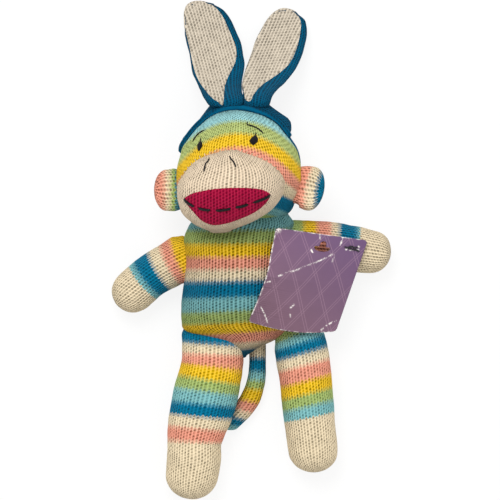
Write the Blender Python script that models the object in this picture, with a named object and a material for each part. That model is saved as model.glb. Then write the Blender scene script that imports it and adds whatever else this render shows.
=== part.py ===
"""Sock monkey doll in a knitted bunny cap, lying on its back, with a swing tag.

The doll lies on the plane z = 0. +Y runs from the feet to the tips of the bunny ears, and +Z is
the doll's front. Left and right are as seen from the front, so left is -X. Each stuffed piece is
a knitted skin round a core of fibrefill. A limb ends in a rounded root that turns in a shallow
seat in the larger piece, on the axis of its sewn joint.
"""
import math
from collections import namedtuple

import bmesh
import bpy
from mathutils import Matrix, Vector
from mathutils.bvhtree import BVHTree

for leftover in list(bpy.data.objects):
    bpy.data.objects.remove(leftover, do_unlink=True)

MM = 0.001

# Knit and seams
KNIT_WALL = 1.6 * MM
SEAM_GAP = 0.3 * MM
FILL_GAP = 0.6 * MM
FLAT_DEPTH = 0.5 * MM
FILL_OPENING_RADIUS = 2.6 * MM
CUT_OVERRUN = 30.0 * MM

# Torso
TORSO_X = -10.6 * MM
TORSO_BOTTOM_Y = -84.0 * MM
TORSO_TOP_Y = 26.0 * MM
TORSO_WIDTH = 83.0 * MM
TORSO_DEPTH = 62.0 * MM
TORSO_CROTCH_HEIGHT = 19.0 * MM
TORSO_END_ROUND = 7.0 * MM

# Head
NECK_X = -8.0 * MM
NECK_Y = 27.0 * MM
NECK_HEIGHT = 30.0 * MM
NECK_WIDTH = 76.0 * MM
NECK_DEPTH = 32.0 * MM
HEAD_CROWN_Y = 110.4 * MM
HEAD_WIDTH = 95.5 * MM
HEAD_DEPTH = 82.0 * MM
HEAD_CROWN_ROUND = 13.0 * MM
HEAD_BACK_HEIGHT = 3.2 * MM

# Muzzle and mouth
MUZZLE_X = -15.8 * MM
MUZZLE_BOTTOM_Y = 13.8 * MM
MUZZLE_TOP_Y = 78.6 * MM
MUZZLE_WIDTH = 81.5 * MM
MUZZLE_DEPTH = 66.0 * MM
MUZZLE_MID_HEIGHT = 67.0 * MM
MUZZLE_END_ROUND = 10.0 * MM
MOUTH_X = -18.5 * MM
MOUTH_Y = 37.0 * MM
MOUTH_WIDTH = 67.0 * MM
MOUTH_HEIGHT = 30.0 * MM
MOUTH_PATCH_WALL = 1.4 * MM

# Embroidery
THREAD_RADIUS = 0.7 * MM
EYE_HEIGHT = 8.0 * MM
EYE_WIDTH = 4.6 * MM
EYE_THICKNESS = 1.6 * MM
EYE_LEFT_X = -39.2 * MM
EYE_LEFT_Y = 81.0 * MM
EYE_RIGHT_X = 2.6 * MM
EYE_RIGHT_Y = 86.0 * MM
EYE_SLANT = 8.0
BROW_LENGTH = 14.0 * MM
BROW_RISE = 3.4 * MM
BROW_LEFT_X = -40.4 * MM
BROW_LEFT_Y = 89.6 * MM
BROW_LEFT_SLANT = 44.0
BROW_RIGHT_X = 3.6 * MM
BROW_RIGHT_Y = 96.0 * MM
BROW_RIGHT_SLANT = -32.0
NOSTRIL_LENGTH = 11.0 * MM
NOSTRIL_LEFT_X = -33.6 * MM
NOSTRIL_RIGHT_X = -13.5 * MM
NOSTRIL_Y = 66.4 * MM
NOSTRIL_SPLAY = 22.0

# The monkey's own ears
EAR_LEFT_X = -60.0 * MM
EAR_LEFT_Y = 46.8 * MM
EAR_LEFT_WIDTH = 28.0 * MM
EAR_LEFT_HEIGHT = 33.0 * MM
EAR_RIGHT_X = 43.0 * MM
EAR_RIGHT_Y = 48.6 * MM
EAR_RIGHT_WIDTH = 30.0 * MM
EAR_RIGHT_HEIGHT = 35.5 * MM
EAR_THICKNESS = 12.0 * MM
EAR_MID_HEIGHT = 43.0 * MM

# Bunny cap
CAP_X = -8.0 * MM
CAP_Y = 70.0 * MM
CAP_WIDTH = 95.0 * MM
CAP_LENGTH = 101.0 * MM
CAP_DEPTH = 89.0 * MM
CAP_TURN = -9.0
CAP_RIM_Y = 110.0 * MM
CAP_RIM_HEIGHT = 55.0 * MM
CAP_RIM_SLOPE = 28.0
CAP_NAPE_Y = 40.0 * MM

# Bunny ears
BUNNY_ROOT_HEIGHT = 37.0 * MM
BUNNY_ROOT_WIDTH = 15.0 * MM
BUNNY_ROOT_DEPTH = 8.0 * MM
BUNNY_THICKNESS = 4.6 * MM
BUNNY_TIP_ROUND = 9.0 * MM
BUNNY_REST = 0.2 * MM
BUNNY_CUP = 7.0 * MM
BUNNY_SEAT_GAP = 0.8 * MM
BUNNY_LEFT_X = -25.0 * MM
BUNNY_LEFT_Y = 119.8 * MM
BUNNY_LEFT_LENGTH = 74.2 * MM
BUNNY_LEFT_WIDTH = 40.0 * MM
BUNNY_LEFT_TURN = 100.0
BUNNY_RIGHT_X = 5.0 * MM
BUNNY_RIGHT_Y = 121.2 * MM
BUNNY_RIGHT_LENGTH = 70.8 * MM
BUNNY_RIGHT_WIDTH = 37.0 * MM
BUNNY_RIGHT_TURN = 71.6
LINING_MARGIN = 2.0 * MM
LINING_THICKNESS = 2.4 * MM

# Arms
ARM_ROOT_HEIGHT = 21.0 * MM
ARM_ROOT_DEPTH = 27.0 * MM
ARM_DEPTH = 35.0 * MM
ARM_SEAT_DEPTH = 6.0 * MM
ARM_TIP_ROUND = 15.0 * MM
ARM_LEFT_Y = -7.0 * MM
ARM_LEFT_LENGTH = 55.3 * MM
ARM_LEFT_WIDTH = 35.5 * MM
ARM_LEFT_TURN = 217.0
ARM_RIGHT_Y = 7.6 * MM
ARM_RIGHT_LENGTH = 67.6 * MM
ARM_RIGHT_WIDTH = 36.0 * MM
ARM_RIGHT_TURN = -7.5

# Legs
LEG_ROOT_HEIGHT = 18.0 * MM
LEG_ROOT_DEPTH = 20.0 * MM
LEG_DEPTH = 40.0 * MM
LEG_TIP_ROUND = 17.0 * MM
LEG_LEFT_X = -28.4 * MM
LEG_LEFT_Y = -70.5 * MM
LEG_LEFT_ROOT_WIDTH = 43.0 * MM
LEG_LEFT_WIDTH = 44.5 * MM
LEG_LEFT_LENGTH = 124.0 * MM
LEG_LEFT_TURN = -100.2
LEG_RIGHT_X = 31.0 * MM
LEG_RIGHT_Y = -66.0 * MM
LEG_RIGHT_ROOT_WIDTH = 38.0 * MM
LEG_RIGHT_WIDTH = 40.0 * MM
LEG_RIGHT_LENGTH = 108.0 * MM
LEG_RIGHT_TURN = -81.0

# Tail
TAIL_X = 5.4 * MM
TAIL_Y = -80.5 * MM
TAIL_HEIGHT = 7.0 * MM
TAIL_LENGTH = 55.0 * MM
TAIL_DIAMETER = 13.2 * MM
TAIL_TIP_ROUND = 6.0 * MM

# Swing tag
TAG_WIDTH = 71.0 * MM
TAG_HEIGHT = 76.0 * MM
TAG_THICKNESS = 0.6 * MM
TAG_CORNER = 3.0 * MM
TAG_TURN = -12.0
TAG_SLOPE = 16.5
TAG_PIN_X = 78.6 * MM
TAG_PIN_Y = 1.9 * MM
TAG_PIN_HEIGHT = 39.2 * MM
TAG_PIN_FROM_RIGHT = 6.5 * MM
TAG_PIN_FROM_TOP = 6.0 * MM
TAG_PIN_HOLE_RADIUS = 1.2 * MM
HANG_HOLE_WIDTH = 12.4 * MM
HANG_HOLE_HEIGHT = 7.6 * MM
HANG_HOLE_FROM_PIN = 23.0 * MM
HANG_HOLE_DROP = 3.0 * MM
PIN_BAR_LENGTH = 12.4 * MM
PIN_BAR_RADIUS = 1.1 * MM
PIN_CORD_RADIUS = 0.6 * MM
PIN_CORD_BOW = 6.5 * MM
PIN_ANCHOR_Y = 5.0 * MM
PIN_ANCHOR_HEIGHT = 40.0 * MM

# Rows are shares by hand. Along and sideways are of the length, then come width and depth of the
# form's own, and last how far the back is lifted, of the root's height. A zero width is the root's.
TORSO_SHARES = ((0.0, -0.125, 0.22, 0.16, 0.70), (0.06, -0.115, 0.54, 0.30, 0.48),
                (0.13, -0.075, 0.98, 0.50, 0.26), (0.24, -0.025, 1.05, 0.76, 0.08),
                (0.40, 0.0, 1.0, 0.94, 0.0), (0.60, 0.0, 0.985, 1.0, 0.0),
                (0.78, 0.0, 0.975, 0.88, 0.08), (0.90, 0.0, 0.95, 0.66, 0.37),
                (1.0, 0.0, 0.88, 0.46, 0.85))
HEAD_SHARES = ((0.0, 0.0, 0.0, 0.0, 0.0), (0.07, 0.0, 0.90, 0.53, 0.20), (0.19, 0.0, 0.955, 0.74, 0.06),
               (0.36, 0.0, 0.995, 0.94, 0.0), (0.52, 0.0, 1.0, 1.0, 0.0), (0.69, 0.0, 0.962, 0.98, 0.0),
               (0.84, 0.0, 0.885, 0.89, 0.06), (1.0, 0.0, 0.745, 0.72, 0.31))
MUZZLE_SHARES = ((0.0, 0.06, 0.76, 0.66, 0.17), (0.2, 0.04, 0.91, 0.87, 0.065),
                 (0.45, 0.01, 1.0, 1.0, 0.0), (0.7, -0.01, 0.95, 0.95, 0.025),
                 (0.88, -0.03, 0.80, 0.80, 0.10), (1.0, -0.05, 0.62, 0.64, 0.18))
ARM_SHARES = ((0.0, 0.0, 0.0, 0.0, 0.0), (0.30, 0.0, 1.0, 0.93, 0.05), (0.62, 0.0, 0.99, 1.0, 0.0),
              (1.0, 0.0, 0.91, 0.93, 0.0))
LEG_LEFT_SHARES = ((0.0, 0.0, 0.0, 0.0, 0.0), (0.08, 0.0, 1.03, 0.66, 0.12), (0.20, 0.0, 1.03, 0.90, 0.0),
                   (0.42, 0.0, 0.98, 1.0, 0.0), (0.70, 0.0, 0.91, 0.99, 0.0), (1.0, 0.015, 0.92, 0.95, 0.0))
LEG_RIGHT_SHARES = ((0.0, 0.0, 0.0, 0.0, 0.0), (0.09, 0.03, 0.98, 0.66, 0.12), (0.21, 0.072, 1.0, 0.90, 0.0),
                    (0.44, 0.07, 0.97, 1.0, 0.0), (0.70, 0.058, 0.95, 0.99, 0.0), (1.0, 0.035, 0.94, 0.95, 0.0))
TAIL_SHARES = ((0.0, 0.0, 0.0, 0.0, 0.0), (0.25, 0.0, 1.0, 1.0, 0.0), (0.5, -0.09, 1.0, 1.0, 0.0),
               (0.66, -0.21, 1.0, 1.0, 0.0), (0.82, -0.33, 0.98, 0.98, 0.0), (1.0, -0.42, 0.92, 0.92, 0.0))
BUNNY_SHARES = ((0.0, 0.0, 0.0, 0.0, 0.0), (0.15, 0.0, 0.55, 0.9, 0.64), (0.36, 0.0, 0.86, 1.0, 0.37),
                (0.60, 0.0, 1.0, 1.0, 0.14), (0.82, 0.0, 0.93, 1.0, 0.03), (1.0, 0.0, 0.70, 0.9, 0.0))
MOUTH_SHARES = ((-0.5, 0.06), (-0.30, 0.27), (-0.05, 0.36), (0.20, 0.37), (0.42, 0.28),
                (0.5, 0.18), (0.40, -0.10), (0.20, -0.38), (-0.06, -0.58), (-0.26, -0.50),
                (-0.43, -0.22))
STITCH_LINE_SHARES = ((-0.47, 0.04), (-0.34, -0.16), (-0.18, -0.24), (0.06, -0.22),
                      (0.30, -0.10), (0.47, 0.20))

HANG_HOLE_SHARES = ((-0.5, -0.28), (-0.40, -0.44), (-0.2, -0.5), (0.2, -0.5), (0.40, -0.44),
                    (0.5, -0.28), (0.46, -0.16), (0.24, -0.14), (0.20, 0.3), (0.1, 0.5),
                    (-0.1, 0.5), (-0.20, 0.3), (-0.24, -0.14), (-0.46, -0.16))

Form = namedtuple("Form", "root root_turn turn length width depth root_width root_depth "
                          "root_reach tip_reach rest_height bends shares")

# Facets
CAP_RINGS = 4
OUTER_SEGMENTS = 16
INNER_SEGMENTS = 12
BODY_SEGMENTS = 22
BODY_INNER_SEGMENTS = 16
SEAT_SEGMENTS = 24
TAIL_SEGMENTS = 10
EYE_SEGMENTS = 10
CORNER_POINTS = 5
PIN_HOLE_POINTS = 8
CORD_POINTS = 8
THREAD_POINTS = 6
MOUTH_POINTS = 20
MERGE_DISTANCE = 0.001 * MM
SIGHT_HEIGHT = 300.0 * MM
THREAD_LIFT = 0.3 * MM
JOINT_DISPLAY_SIZE = 10.0 * MM


def new_collection(name):
    """Makes a collection in the scene."""
    made = bpy.data.collections.new(name)
    bpy.context.scene.collection.children.link(made)
    return made


PARTS = new_collection("sock_monkey_doll")
CUTTERS = new_collection("cutters")


def make_material(name, colour, roughness):
    """Makes a plain Principled material."""
    made = bpy.data.materials.new(name)
    made.use_nodes = True
    shader = made.node_tree.nodes["Principled BSDF"]
    shader.inputs["Base Color"].default_value = (*colour, 1.0)
    shader.inputs["Roughness"].default_value = roughness
    shader.inputs["Metallic"].default_value = 0.0
    return made


MATERIALS = {
    "striped": make_material("striped_knit", (0.80, 0.52, 0.06), 0.9),
    "cream": make_material("cream_knit", (0.68, 0.56, 0.38), 0.9),
    "blue": make_material("blue_knit", (0.01, 0.12, 0.22), 0.9),
    "pink": make_material("pink_knit", (0.72, 0.31, 0.22), 0.9),
    "magenta": make_material("magenta_knit", (0.31, 0.01, 0.04), 0.9),
    "fill": make_material("polyester_fibrefill", (0.85, 0.85, 0.82), 0.95),
    "thread": make_material("black_thread", (0.01, 0.01, 0.012), 0.6),
    "card": make_material("printed_card", (0.22, 0.12, 0.23), 0.5),
    "nylon": make_material("black_nylon", (0.01, 0.01, 0.01), 0.35),
}


def direction(turn):
    """Unit vector in the XY plane at a turn in degrees from +X."""
    return Vector((math.cos(math.radians(turn)), math.sin(math.radians(turn)), 0.0))


def form_rings(form):
    """Rings of a stuffed form from root to tip: centre, tangent, half width, half depth."""
    out, side = direction(form.turn), direction(form.turn + 90.0)
    stations = []
    for along, sideways, width, depth, lift in form.shares:
        centre = form.root + out * (along * form.length) + side * (sideways * form.length)
        if width:
            half_width, half_depth = form.width * width / 2, form.depth * depth / 2
            centre.z = half_depth + form.rest_height + lift * form.root.z
        else:
            half_width, half_depth = form.root_width / 2, form.root_depth / 2
        stations.append((centre, half_width, half_depth))
    tangents = [(stations[min(i + 1, len(stations) - 1)][0] - stations[max(i - 1, 0)][0])
                for i in range(len(stations))]
    tangents = [Vector((t.x, t.y, 0.0)).normalized() for t in tangents]
    if not form.bends:
        tangents = [out] * len(tangents)
    tangents[0] = direction(form.root_turn)
    tangents[1:-1] = [(before + at * 2 + after).normalized()
                      for before, at, after in zip(tangents, tangents[1:], tangents[2:])]

    rings = []
    start, start_width, start_depth = stations[0]
    for step in range(1, CAP_RINGS):
        angle = math.radians(90.0 * step / CAP_RINGS)
        centre = start - tangents[0] * (form.root_reach * math.cos(angle))
        rings.append((centre, tangents[0], start_width * math.sin(angle),
                      start_depth * math.sin(angle)))
    for (centre, half_width, half_depth), tangent in zip(stations, tangents):
        rings.append((centre, tangent, half_width, half_depth))
    end, end_width, end_depth = stations[-1]
    for step in range(1, CAP_RINGS):
        angle = math.radians(90.0 * step / CAP_RINGS)
        centre = end + tangents[-1] * (form.tip_reach * math.sin(angle))
        rings.append((centre, tangents[-1], end_width * math.cos(angle),
                      end_depth * math.cos(angle)))
    root_pole = start - tangents[0] * form.root_reach
    tip_pole = end + tangents[-1] * form.tip_reach
    return root_pole, rings, tip_pole


def form_mesh(form, inset, segments, cup=0.0):
    """A UV sphere drawn out to a stuffed form's rings, then shrunk by an even wall."""
    root_pole, rings, tip_pole = form_rings(form)
    up = Vector((0.0, 0.0, 1.0))
    work = bmesh.new()
    bmesh.ops.create_uvsphere(work, u_segments=segments, v_segments=len(rings) + 1, radius=1.0)
    for vertex in work.verts:
        polar = math.acos(max(-1.0, min(1.0, -vertex.co.z)))
        row = round(polar / math.pi * (len(rings) + 1)) - 1
        if row < 0:
            vertex.co = root_pole
        elif row >= len(rings):
            vertex.co = tip_pole
        else:
            centre, tangent, half_width, half_depth = rings[row]
            reach = math.hypot(vertex.co.x, vertex.co.y)
            across, rise = vertex.co.x / reach, vertex.co.y / reach
            widest = (form.width / 2) or half_width
            bend = cup * (across * half_width / widest) ** 2
            vertex.co = (centre + up.cross(tangent) * (across * half_width)
                         + up * (rise * half_depth + bend))
    if work.calc_volume(signed=True) < 0.0:
        bmesh.ops.reverse_faces(work, faces=work.faces)
    work.normal_update()
    shifts = [vertex.normal * (inset * vertex.calc_shell_factor()) for vertex in work.verts]
    for vertex, shift in zip(work.verts, shifts):
        vertex.co -= shift
    bmesh.ops.triangulate(work, faces=work.faces, quad_method="FIXED")
    mesh = bpy.data.meshes.new("form")
    work.to_mesh(mesh)
    work.free()
    mesh.shade_smooth()
    return mesh


def add_object(name, mesh, collection, material=None):
    """Links a mesh as an object, dressed if it is a part and hidden if it is a cutter."""
    made = bpy.data.objects.new(name, mesh)
    collection.objects.link(made)
    if material:
        mesh.materials.append(MATERIALS[material])
    else:
        made.hide_render = True
        made.display_type = "WIRE"
    return made


def hang(joint, place, pieces):
    """Parents pieces to an empty on their joint's axis, where they already are."""
    empty = bpy.data.objects.new(joint, None)
    empty.empty_display_size = JOINT_DISPLAY_SIZE
    empty.location = place
    PARTS.objects.link(empty)
    for piece in pieces:
        piece.parent = empty
        piece.matrix_parent_inverse = Matrix.Translation(place).inverted()


def cut(target, cutter, operation="DIFFERENCE"):
    """Adds an exact boolean to a part."""
    modifier = target.modifiers.new(cutter.name, "BOOLEAN")
    modifier.object = cutter
    modifier.operation = operation
    return modifier


def box_cutter(name, size, matrix):
    """A box whose top face is the XY plane of its matrix."""
    work = bmesh.new()
    bmesh.ops.create_cube(work, size=1.0)
    bmesh.ops.transform(work, matrix=Matrix.Diagonal((*size, 1.0)), verts=work.verts)
    bmesh.ops.translate(work, vec=(0.0, 0.0, -size[2] / 2), verts=work.verts)
    mesh = bpy.data.meshes.new(name)
    work.to_mesh(mesh)
    work.free()
    made = add_object(name, mesh, CUTTERS)
    made.matrix_world = matrix
    return made


def ellipsoid_mesh(name, centre, size, segments, turn=0.0):
    """An ellipsoid of the given widths, turned about Z."""
    work = bmesh.new()
    bmesh.ops.create_uvsphere(work, u_segments=segments, v_segments=segments // 2 + 2, radius=0.5)
    place = (Matrix.Translation(centre) @ Matrix.Rotation(math.radians(turn), 4, "Z")
             @ Matrix.Diagonal((*size, 1.0)))
    bmesh.ops.transform(work, matrix=place, verts=work.verts)
    mesh = bpy.data.meshes.new(name)
    work.to_mesh(mesh)
    work.free()
    mesh.shade_smooth()
    return mesh


def seat_cutter(name, form, gap):
    """The seat of a form's root: its rounded end, grown by a gap."""
    size = (form.root_width, 2 * form.root_reach, form.root_depth)
    size = [(length + 2 * gap) / math.cos(math.pi / SEAT_SEGMENTS) for length in size]
    mesh = ellipsoid_mesh(name, form.root, size, SEAT_SEGMENTS, form.root_turn - 90.0)
    return add_object(name, mesh, CUTTERS)


def channel_cutter(name, form, gap):
    """A round channel along X for a wide root that turns on that axis."""
    radius = (form.root_reach + gap) / math.cos(math.pi / SEAT_SEGMENTS)
    work = bmesh.new()
    bmesh.ops.create_cone(work, cap_ends=True, segments=SEAT_SEGMENTS, radius1=radius,
                          radius2=radius, depth=form.root_width + 2 * gap)
    mesh = bpy.data.meshes.new(name)
    work.to_mesh(mesh)
    work.free()
    made = add_object(name, mesh, CUTTERS)
    made.location = form.root
    made.rotation_euler = (0.0, math.pi / 2, 0.0)
    return made


def fill_opening(name, form):
    """A short pin through the root's end, where the stuffing goes in."""
    work = bmesh.new()
    bmesh.ops.create_cone(work, cap_ends=True, segments=8, radius1=FILL_OPENING_RADIUS,
                          radius2=FILL_OPENING_RADIUS, depth=form.root_reach)
    mesh = bpy.data.meshes.new(name)
    work.to_mesh(mesh)
    work.free()
    made = add_object(name, mesh, CUTTERS)
    out = direction(form.root_turn)
    made.location = form.root - out * form.root_reach
    made.rotation_mode = "QUATERNION"
    made.rotation_quaternion = Vector((0.0, 0.0, 1.0)).rotation_difference(out)
    return made


FLOOR_CUT = box_cutter("floor_cut", (0.6, 0.8, CUT_OVERRUN), Matrix.Identity(4))


def stuffed_piece(name, form, skin_material, outer_segments, inner_segments, opening=True):
    """A knitted skin and the stuffing in it. Returns both objects."""
    skin = add_object(name + "_skin", form_mesh(form, 0.0, outer_segments), PARTS, skin_material)
    hollow = add_object(name + "_hollow", form_mesh(form, KNIT_WALL, inner_segments), CUTTERS)
    cut(skin, hollow)
    stuffing = add_object(name + "_stuffing", form_mesh(form, KNIT_WALL + FILL_GAP, inner_segments),
                          PARTS, "fill")
    if opening:
        cut(skin, fill_opening(name + "_opening", form))
    if form.rest_height < 0.0:
        cut(skin, FLOOR_CUT)
    return skin, stuffing


torso_form = Form(
    root=Vector((TORSO_X, TORSO_BOTTOM_Y + TORSO_END_ROUND, TORSO_CROTCH_HEIGHT)),
    root_turn=90.0, turn=90.0, length=TORSO_TOP_Y - TORSO_BOTTOM_Y - 2 * TORSO_END_ROUND,
    width=TORSO_WIDTH, depth=TORSO_DEPTH, root_width=0.0, root_depth=0.0,
    root_reach=TORSO_END_ROUND, tip_reach=TORSO_END_ROUND, rest_height=-FLAT_DEPTH, bends=False,
    shares=TORSO_SHARES)
head_form = Form(
    root=Vector((NECK_X, NECK_Y, NECK_HEIGHT)), root_turn=90.0, turn=90.0,
    length=HEAD_CROWN_Y - HEAD_CROWN_ROUND - NECK_Y, width=HEAD_WIDTH, depth=HEAD_DEPTH,
    root_width=NECK_WIDTH, root_depth=NECK_DEPTH, root_reach=NECK_DEPTH / 2,
    tip_reach=HEAD_CROWN_ROUND, rest_height=HEAD_BACK_HEIGHT, bends=False, shares=HEAD_SHARES)
muzzle_form = Form(
    root=Vector((MUZZLE_X, MUZZLE_BOTTOM_Y + MUZZLE_END_ROUND, MUZZLE_MID_HEIGHT)),
    root_turn=90.0, turn=90.0, length=MUZZLE_TOP_Y - MUZZLE_BOTTOM_Y - 2 * MUZZLE_END_ROUND,
    width=MUZZLE_WIDTH, depth=MUZZLE_DEPTH, root_width=0.0, root_depth=0.0,
    root_reach=MUZZLE_END_ROUND, tip_reach=MUZZLE_END_ROUND,
    rest_height=MUZZLE_MID_HEIGHT - MUZZLE_DEPTH / 2, bends=False, shares=MUZZLE_SHARES)


def arm_form(side, root_y, turn, length, width):
    """An arm whose root turns on an upright axis in a seat in the torso's flank."""
    root_x = TORSO_X + side * (TORSO_WIDTH / 2 + width / 2 - ARM_SEAT_DEPTH)
    return Form(root=Vector((root_x, root_y, ARM_ROOT_HEIGHT)), root_turn=turn, turn=turn,
                length=length - ARM_TIP_ROUND, width=width, depth=ARM_DEPTH, root_width=width,
                root_depth=ARM_ROOT_DEPTH, root_reach=width / 2, tip_reach=ARM_TIP_ROUND,
                rest_height=-FLAT_DEPTH, bends=True, shares=ARM_SHARES)


def leg_form(root_x, root_y, turn, length, width, root_width, shares):
    """A leg whose root turns on an axis along X in a seat in the torso's lower end."""
    return Form(root=Vector((root_x, root_y, LEG_ROOT_HEIGHT)), root_turn=-90.0, turn=turn,
                length=length - LEG_TIP_ROUND, width=width, depth=LEG_DEPTH,
                root_width=root_width, root_depth=LEG_ROOT_DEPTH, root_reach=LEG_ROOT_DEPTH / 2,
                tip_reach=LEG_TIP_ROUND, rest_height=-FLAT_DEPTH, bends=True, shares=shares)


def bunny_form(root_x, root_y, turn, length, width):
    """A bunny ear that droops from the top of the cap to the surface."""
    return Form(root=Vector((root_x, root_y, BUNNY_ROOT_HEIGHT)), root_turn=90.0, turn=turn,
                length=length - BUNNY_TIP_ROUND, width=width, depth=BUNNY_THICKNESS,
                root_width=BUNNY_ROOT_WIDTH, root_depth=BUNNY_ROOT_DEPTH,
                root_reach=BUNNY_ROOT_DEPTH / 2, tip_reach=BUNNY_TIP_ROUND,
                rest_height=BUNNY_REST, bends=True, shares=BUNNY_SHARES)


limb_forms = {
    "arm_left": arm_form(-1, ARM_LEFT_Y, ARM_LEFT_TURN, ARM_LEFT_LENGTH, ARM_LEFT_WIDTH),
    "arm_right": arm_form(1, ARM_RIGHT_Y, ARM_RIGHT_TURN, ARM_RIGHT_LENGTH, ARM_RIGHT_WIDTH),
    "leg_left": leg_form(LEG_LEFT_X, LEG_LEFT_Y, LEG_LEFT_TURN, LEG_LEFT_LENGTH, LEG_LEFT_WIDTH,
                         LEG_LEFT_ROOT_WIDTH, LEG_LEFT_SHARES),
    "leg_right": leg_form(LEG_RIGHT_X, LEG_RIGHT_Y, LEG_RIGHT_TURN, LEG_RIGHT_LENGTH,
                          LEG_RIGHT_WIDTH, LEG_RIGHT_ROOT_WIDTH, LEG_RIGHT_SHARES),
}
tail_form = Form(
    root=Vector((TAIL_X, TAIL_Y, TAIL_HEIGHT)), root_turn=-90.0, turn=-90.0,
    length=TAIL_LENGTH - TAIL_TIP_ROUND, width=TAIL_DIAMETER, depth=TAIL_DIAMETER,
    root_width=TAIL_DIAMETER, root_depth=TAIL_DIAMETER, root_reach=TAIL_DIAMETER / 2,
    tip_reach=TAIL_TIP_ROUND, rest_height=-FLAT_DEPTH, bends=True, shares=TAIL_SHARES)
bunny_forms = {
    "bunny_ear_left": bunny_form(BUNNY_LEFT_X, BUNNY_LEFT_Y, BUNNY_LEFT_TURN,
                                 BUNNY_LEFT_LENGTH, BUNNY_LEFT_WIDTH),
    "bunny_ear_right": bunny_form(BUNNY_RIGHT_X, BUNNY_RIGHT_Y, BUNNY_RIGHT_TURN,
                                  BUNNY_RIGHT_LENGTH, BUNNY_RIGHT_WIDTH),
}


def grown(name, form, growth, segments):
    """A form grown all round, as a cutter that leaves a gap."""
    return add_object(name, form_mesh(form, -growth, segments), CUTTERS)


head_clearance = grown("head_clearance", head_form, SEAM_GAP, BODY_SEGMENTS)
head_fill_clearance = grown("head_fill_clearance", head_form, KNIT_WALL, BODY_SEGMENTS)
muzzle_clearance = grown("muzzle_clearance", muzzle_form, SEAM_GAP, BODY_SEGMENTS)


def make_torso():
    """The torso, with seats for the neck, the limbs and the tail."""
    skin, stuffing = stuffed_piece("torso", torso_form, "striped", BODY_SEGMENTS,
                                   BODY_INNER_SEGMENTS, opening=False)
    for name, form in {"neck": head_form, "tail": tail_form, **limb_forms}.items():
        cutter = channel_cutter if name.startswith("leg") else seat_cutter
        cut(skin, cutter(name + "_seat", form, SEAM_GAP))
        cut(stuffing, cutter(name + "_fill_seat", form, SEAM_GAP + FILL_GAP))


def make_head():
    """The head, and the muzzle sewn over its lower front."""
    stuffed_piece("head", head_form, "striped", BODY_SEGMENTS, BODY_INNER_SEGMENTS)
    muzzle, muzzle_fill = stuffed_piece("muzzle", muzzle_form, "cream", BODY_SEGMENTS,
                                        BODY_INNER_SEGMENTS, opening=False)
    cut(muzzle, head_clearance)
    cut(muzzle_fill, head_fill_clearance)


def make_mouth():
    """The mouth patch: a layer over the muzzle inside the mouth's outline."""
    patch = add_object("mouth_patch", form_mesh(muzzle_form, -SEAM_GAP - MOUTH_PATCH_WALL,
                                                BODY_SEGMENTS), PARTS, "magenta")
    outline = flat_outline("mouth_outline", [(x * MOUTH_WIDTH, y * MOUTH_HEIGHT)
                                             for x, y in MOUTH_SHARES], MUZZLE_DEPTH / 2)
    prism = curve_to_mesh(outline, CUTTERS)
    prism.location = (MOUTH_X, MOUTH_Y, MUZZLE_MID_HEIGHT + MUZZLE_DEPTH / 2)
    cut(patch, muzzle_clearance)
    cut(patch, prism, "INTERSECT")


def flat_outline(name, points, height, holes=()):
    """A filled 2D curve through the points, extruded to the given height each way of its plane."""
    curve = bpy.data.curves.new(name, "CURVE")
    curve.dimensions = "2D"
    curve.fill_mode = "BOTH"
    curve.extrude = height / 2
    for loop in (points, *holes):
        spline = curve.splines.new("POLY")
        spline.points.add(len(loop) - 1)
        for place, (x, y) in zip(spline.points, loop):
            place.co = (x, y, 0.0, 1.0)
        spline.use_cyclic_u = True
    made = bpy.data.objects.new(name, curve)
    PARTS.objects.link(made)
    return made


def curve_to_mesh(source, collection, material=None):
    """Turns a curve object into a closed mesh object of the same name."""
    bpy.context.view_layer.update()
    graph = bpy.context.evaluated_depsgraph_get()
    mesh = bpy.data.meshes.new_from_object(source.evaluated_get(graph))
    work = bmesh.new()
    work.from_mesh(mesh)
    bmesh.ops.remove_doubles(work, verts=work.verts, dist=MERGE_DISTANCE)
    work.to_mesh(mesh)
    work.free()
    name, place = source.name, source.matrix_world.copy()
    bpy.data.objects.remove(source)
    made = add_object(name, mesh, collection, material)
    made.matrix_world = place
    return made


def form_tree(form, inset, segments):
    """A search tree over a form's surface, to seat threads on it."""
    mesh = form_mesh(form, inset, segments)
    work = bmesh.new()
    work.from_mesh(mesh)
    tree = BVHTree.FromBMesh(work)
    work.free()
    bpy.data.meshes.remove(mesh)
    return tree


def surface_above(tree, x, y):
    """The highest point of a surface over a place, and its normal."""
    point, normal, _, _ = tree.ray_cast(Vector((x, y, SIGHT_HEIGHT)), Vector((0.0, 0.0, -1.0)))
    return point, normal


def add_thread(name, run, tree):
    """A thread laid on a surface along a run of places."""
    route = []
    for x, y in run:
        point, normal = surface_above(tree, x, y)
        route.append(point + normal * (THREAD_RADIUS + THREAD_LIFT))
    return curve_to_mesh(tube_object(name, route, THREAD_RADIUS, 1), PARTS, "thread")


def arc_run(x, y, length, rise, slant, count):
    """Places along a shallow arc centred on a place."""
    run = []
    turn = math.radians(slant)
    for step in range(count):
        share = step / (count - 1) - 0.5
        along, bow = share * length, rise * (1.0 - 4.0 * share * share)
        run.append((x + along * math.cos(turn) - bow * math.sin(turn),
                    y + along * math.sin(turn) + bow * math.cos(turn)))
    return run


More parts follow.
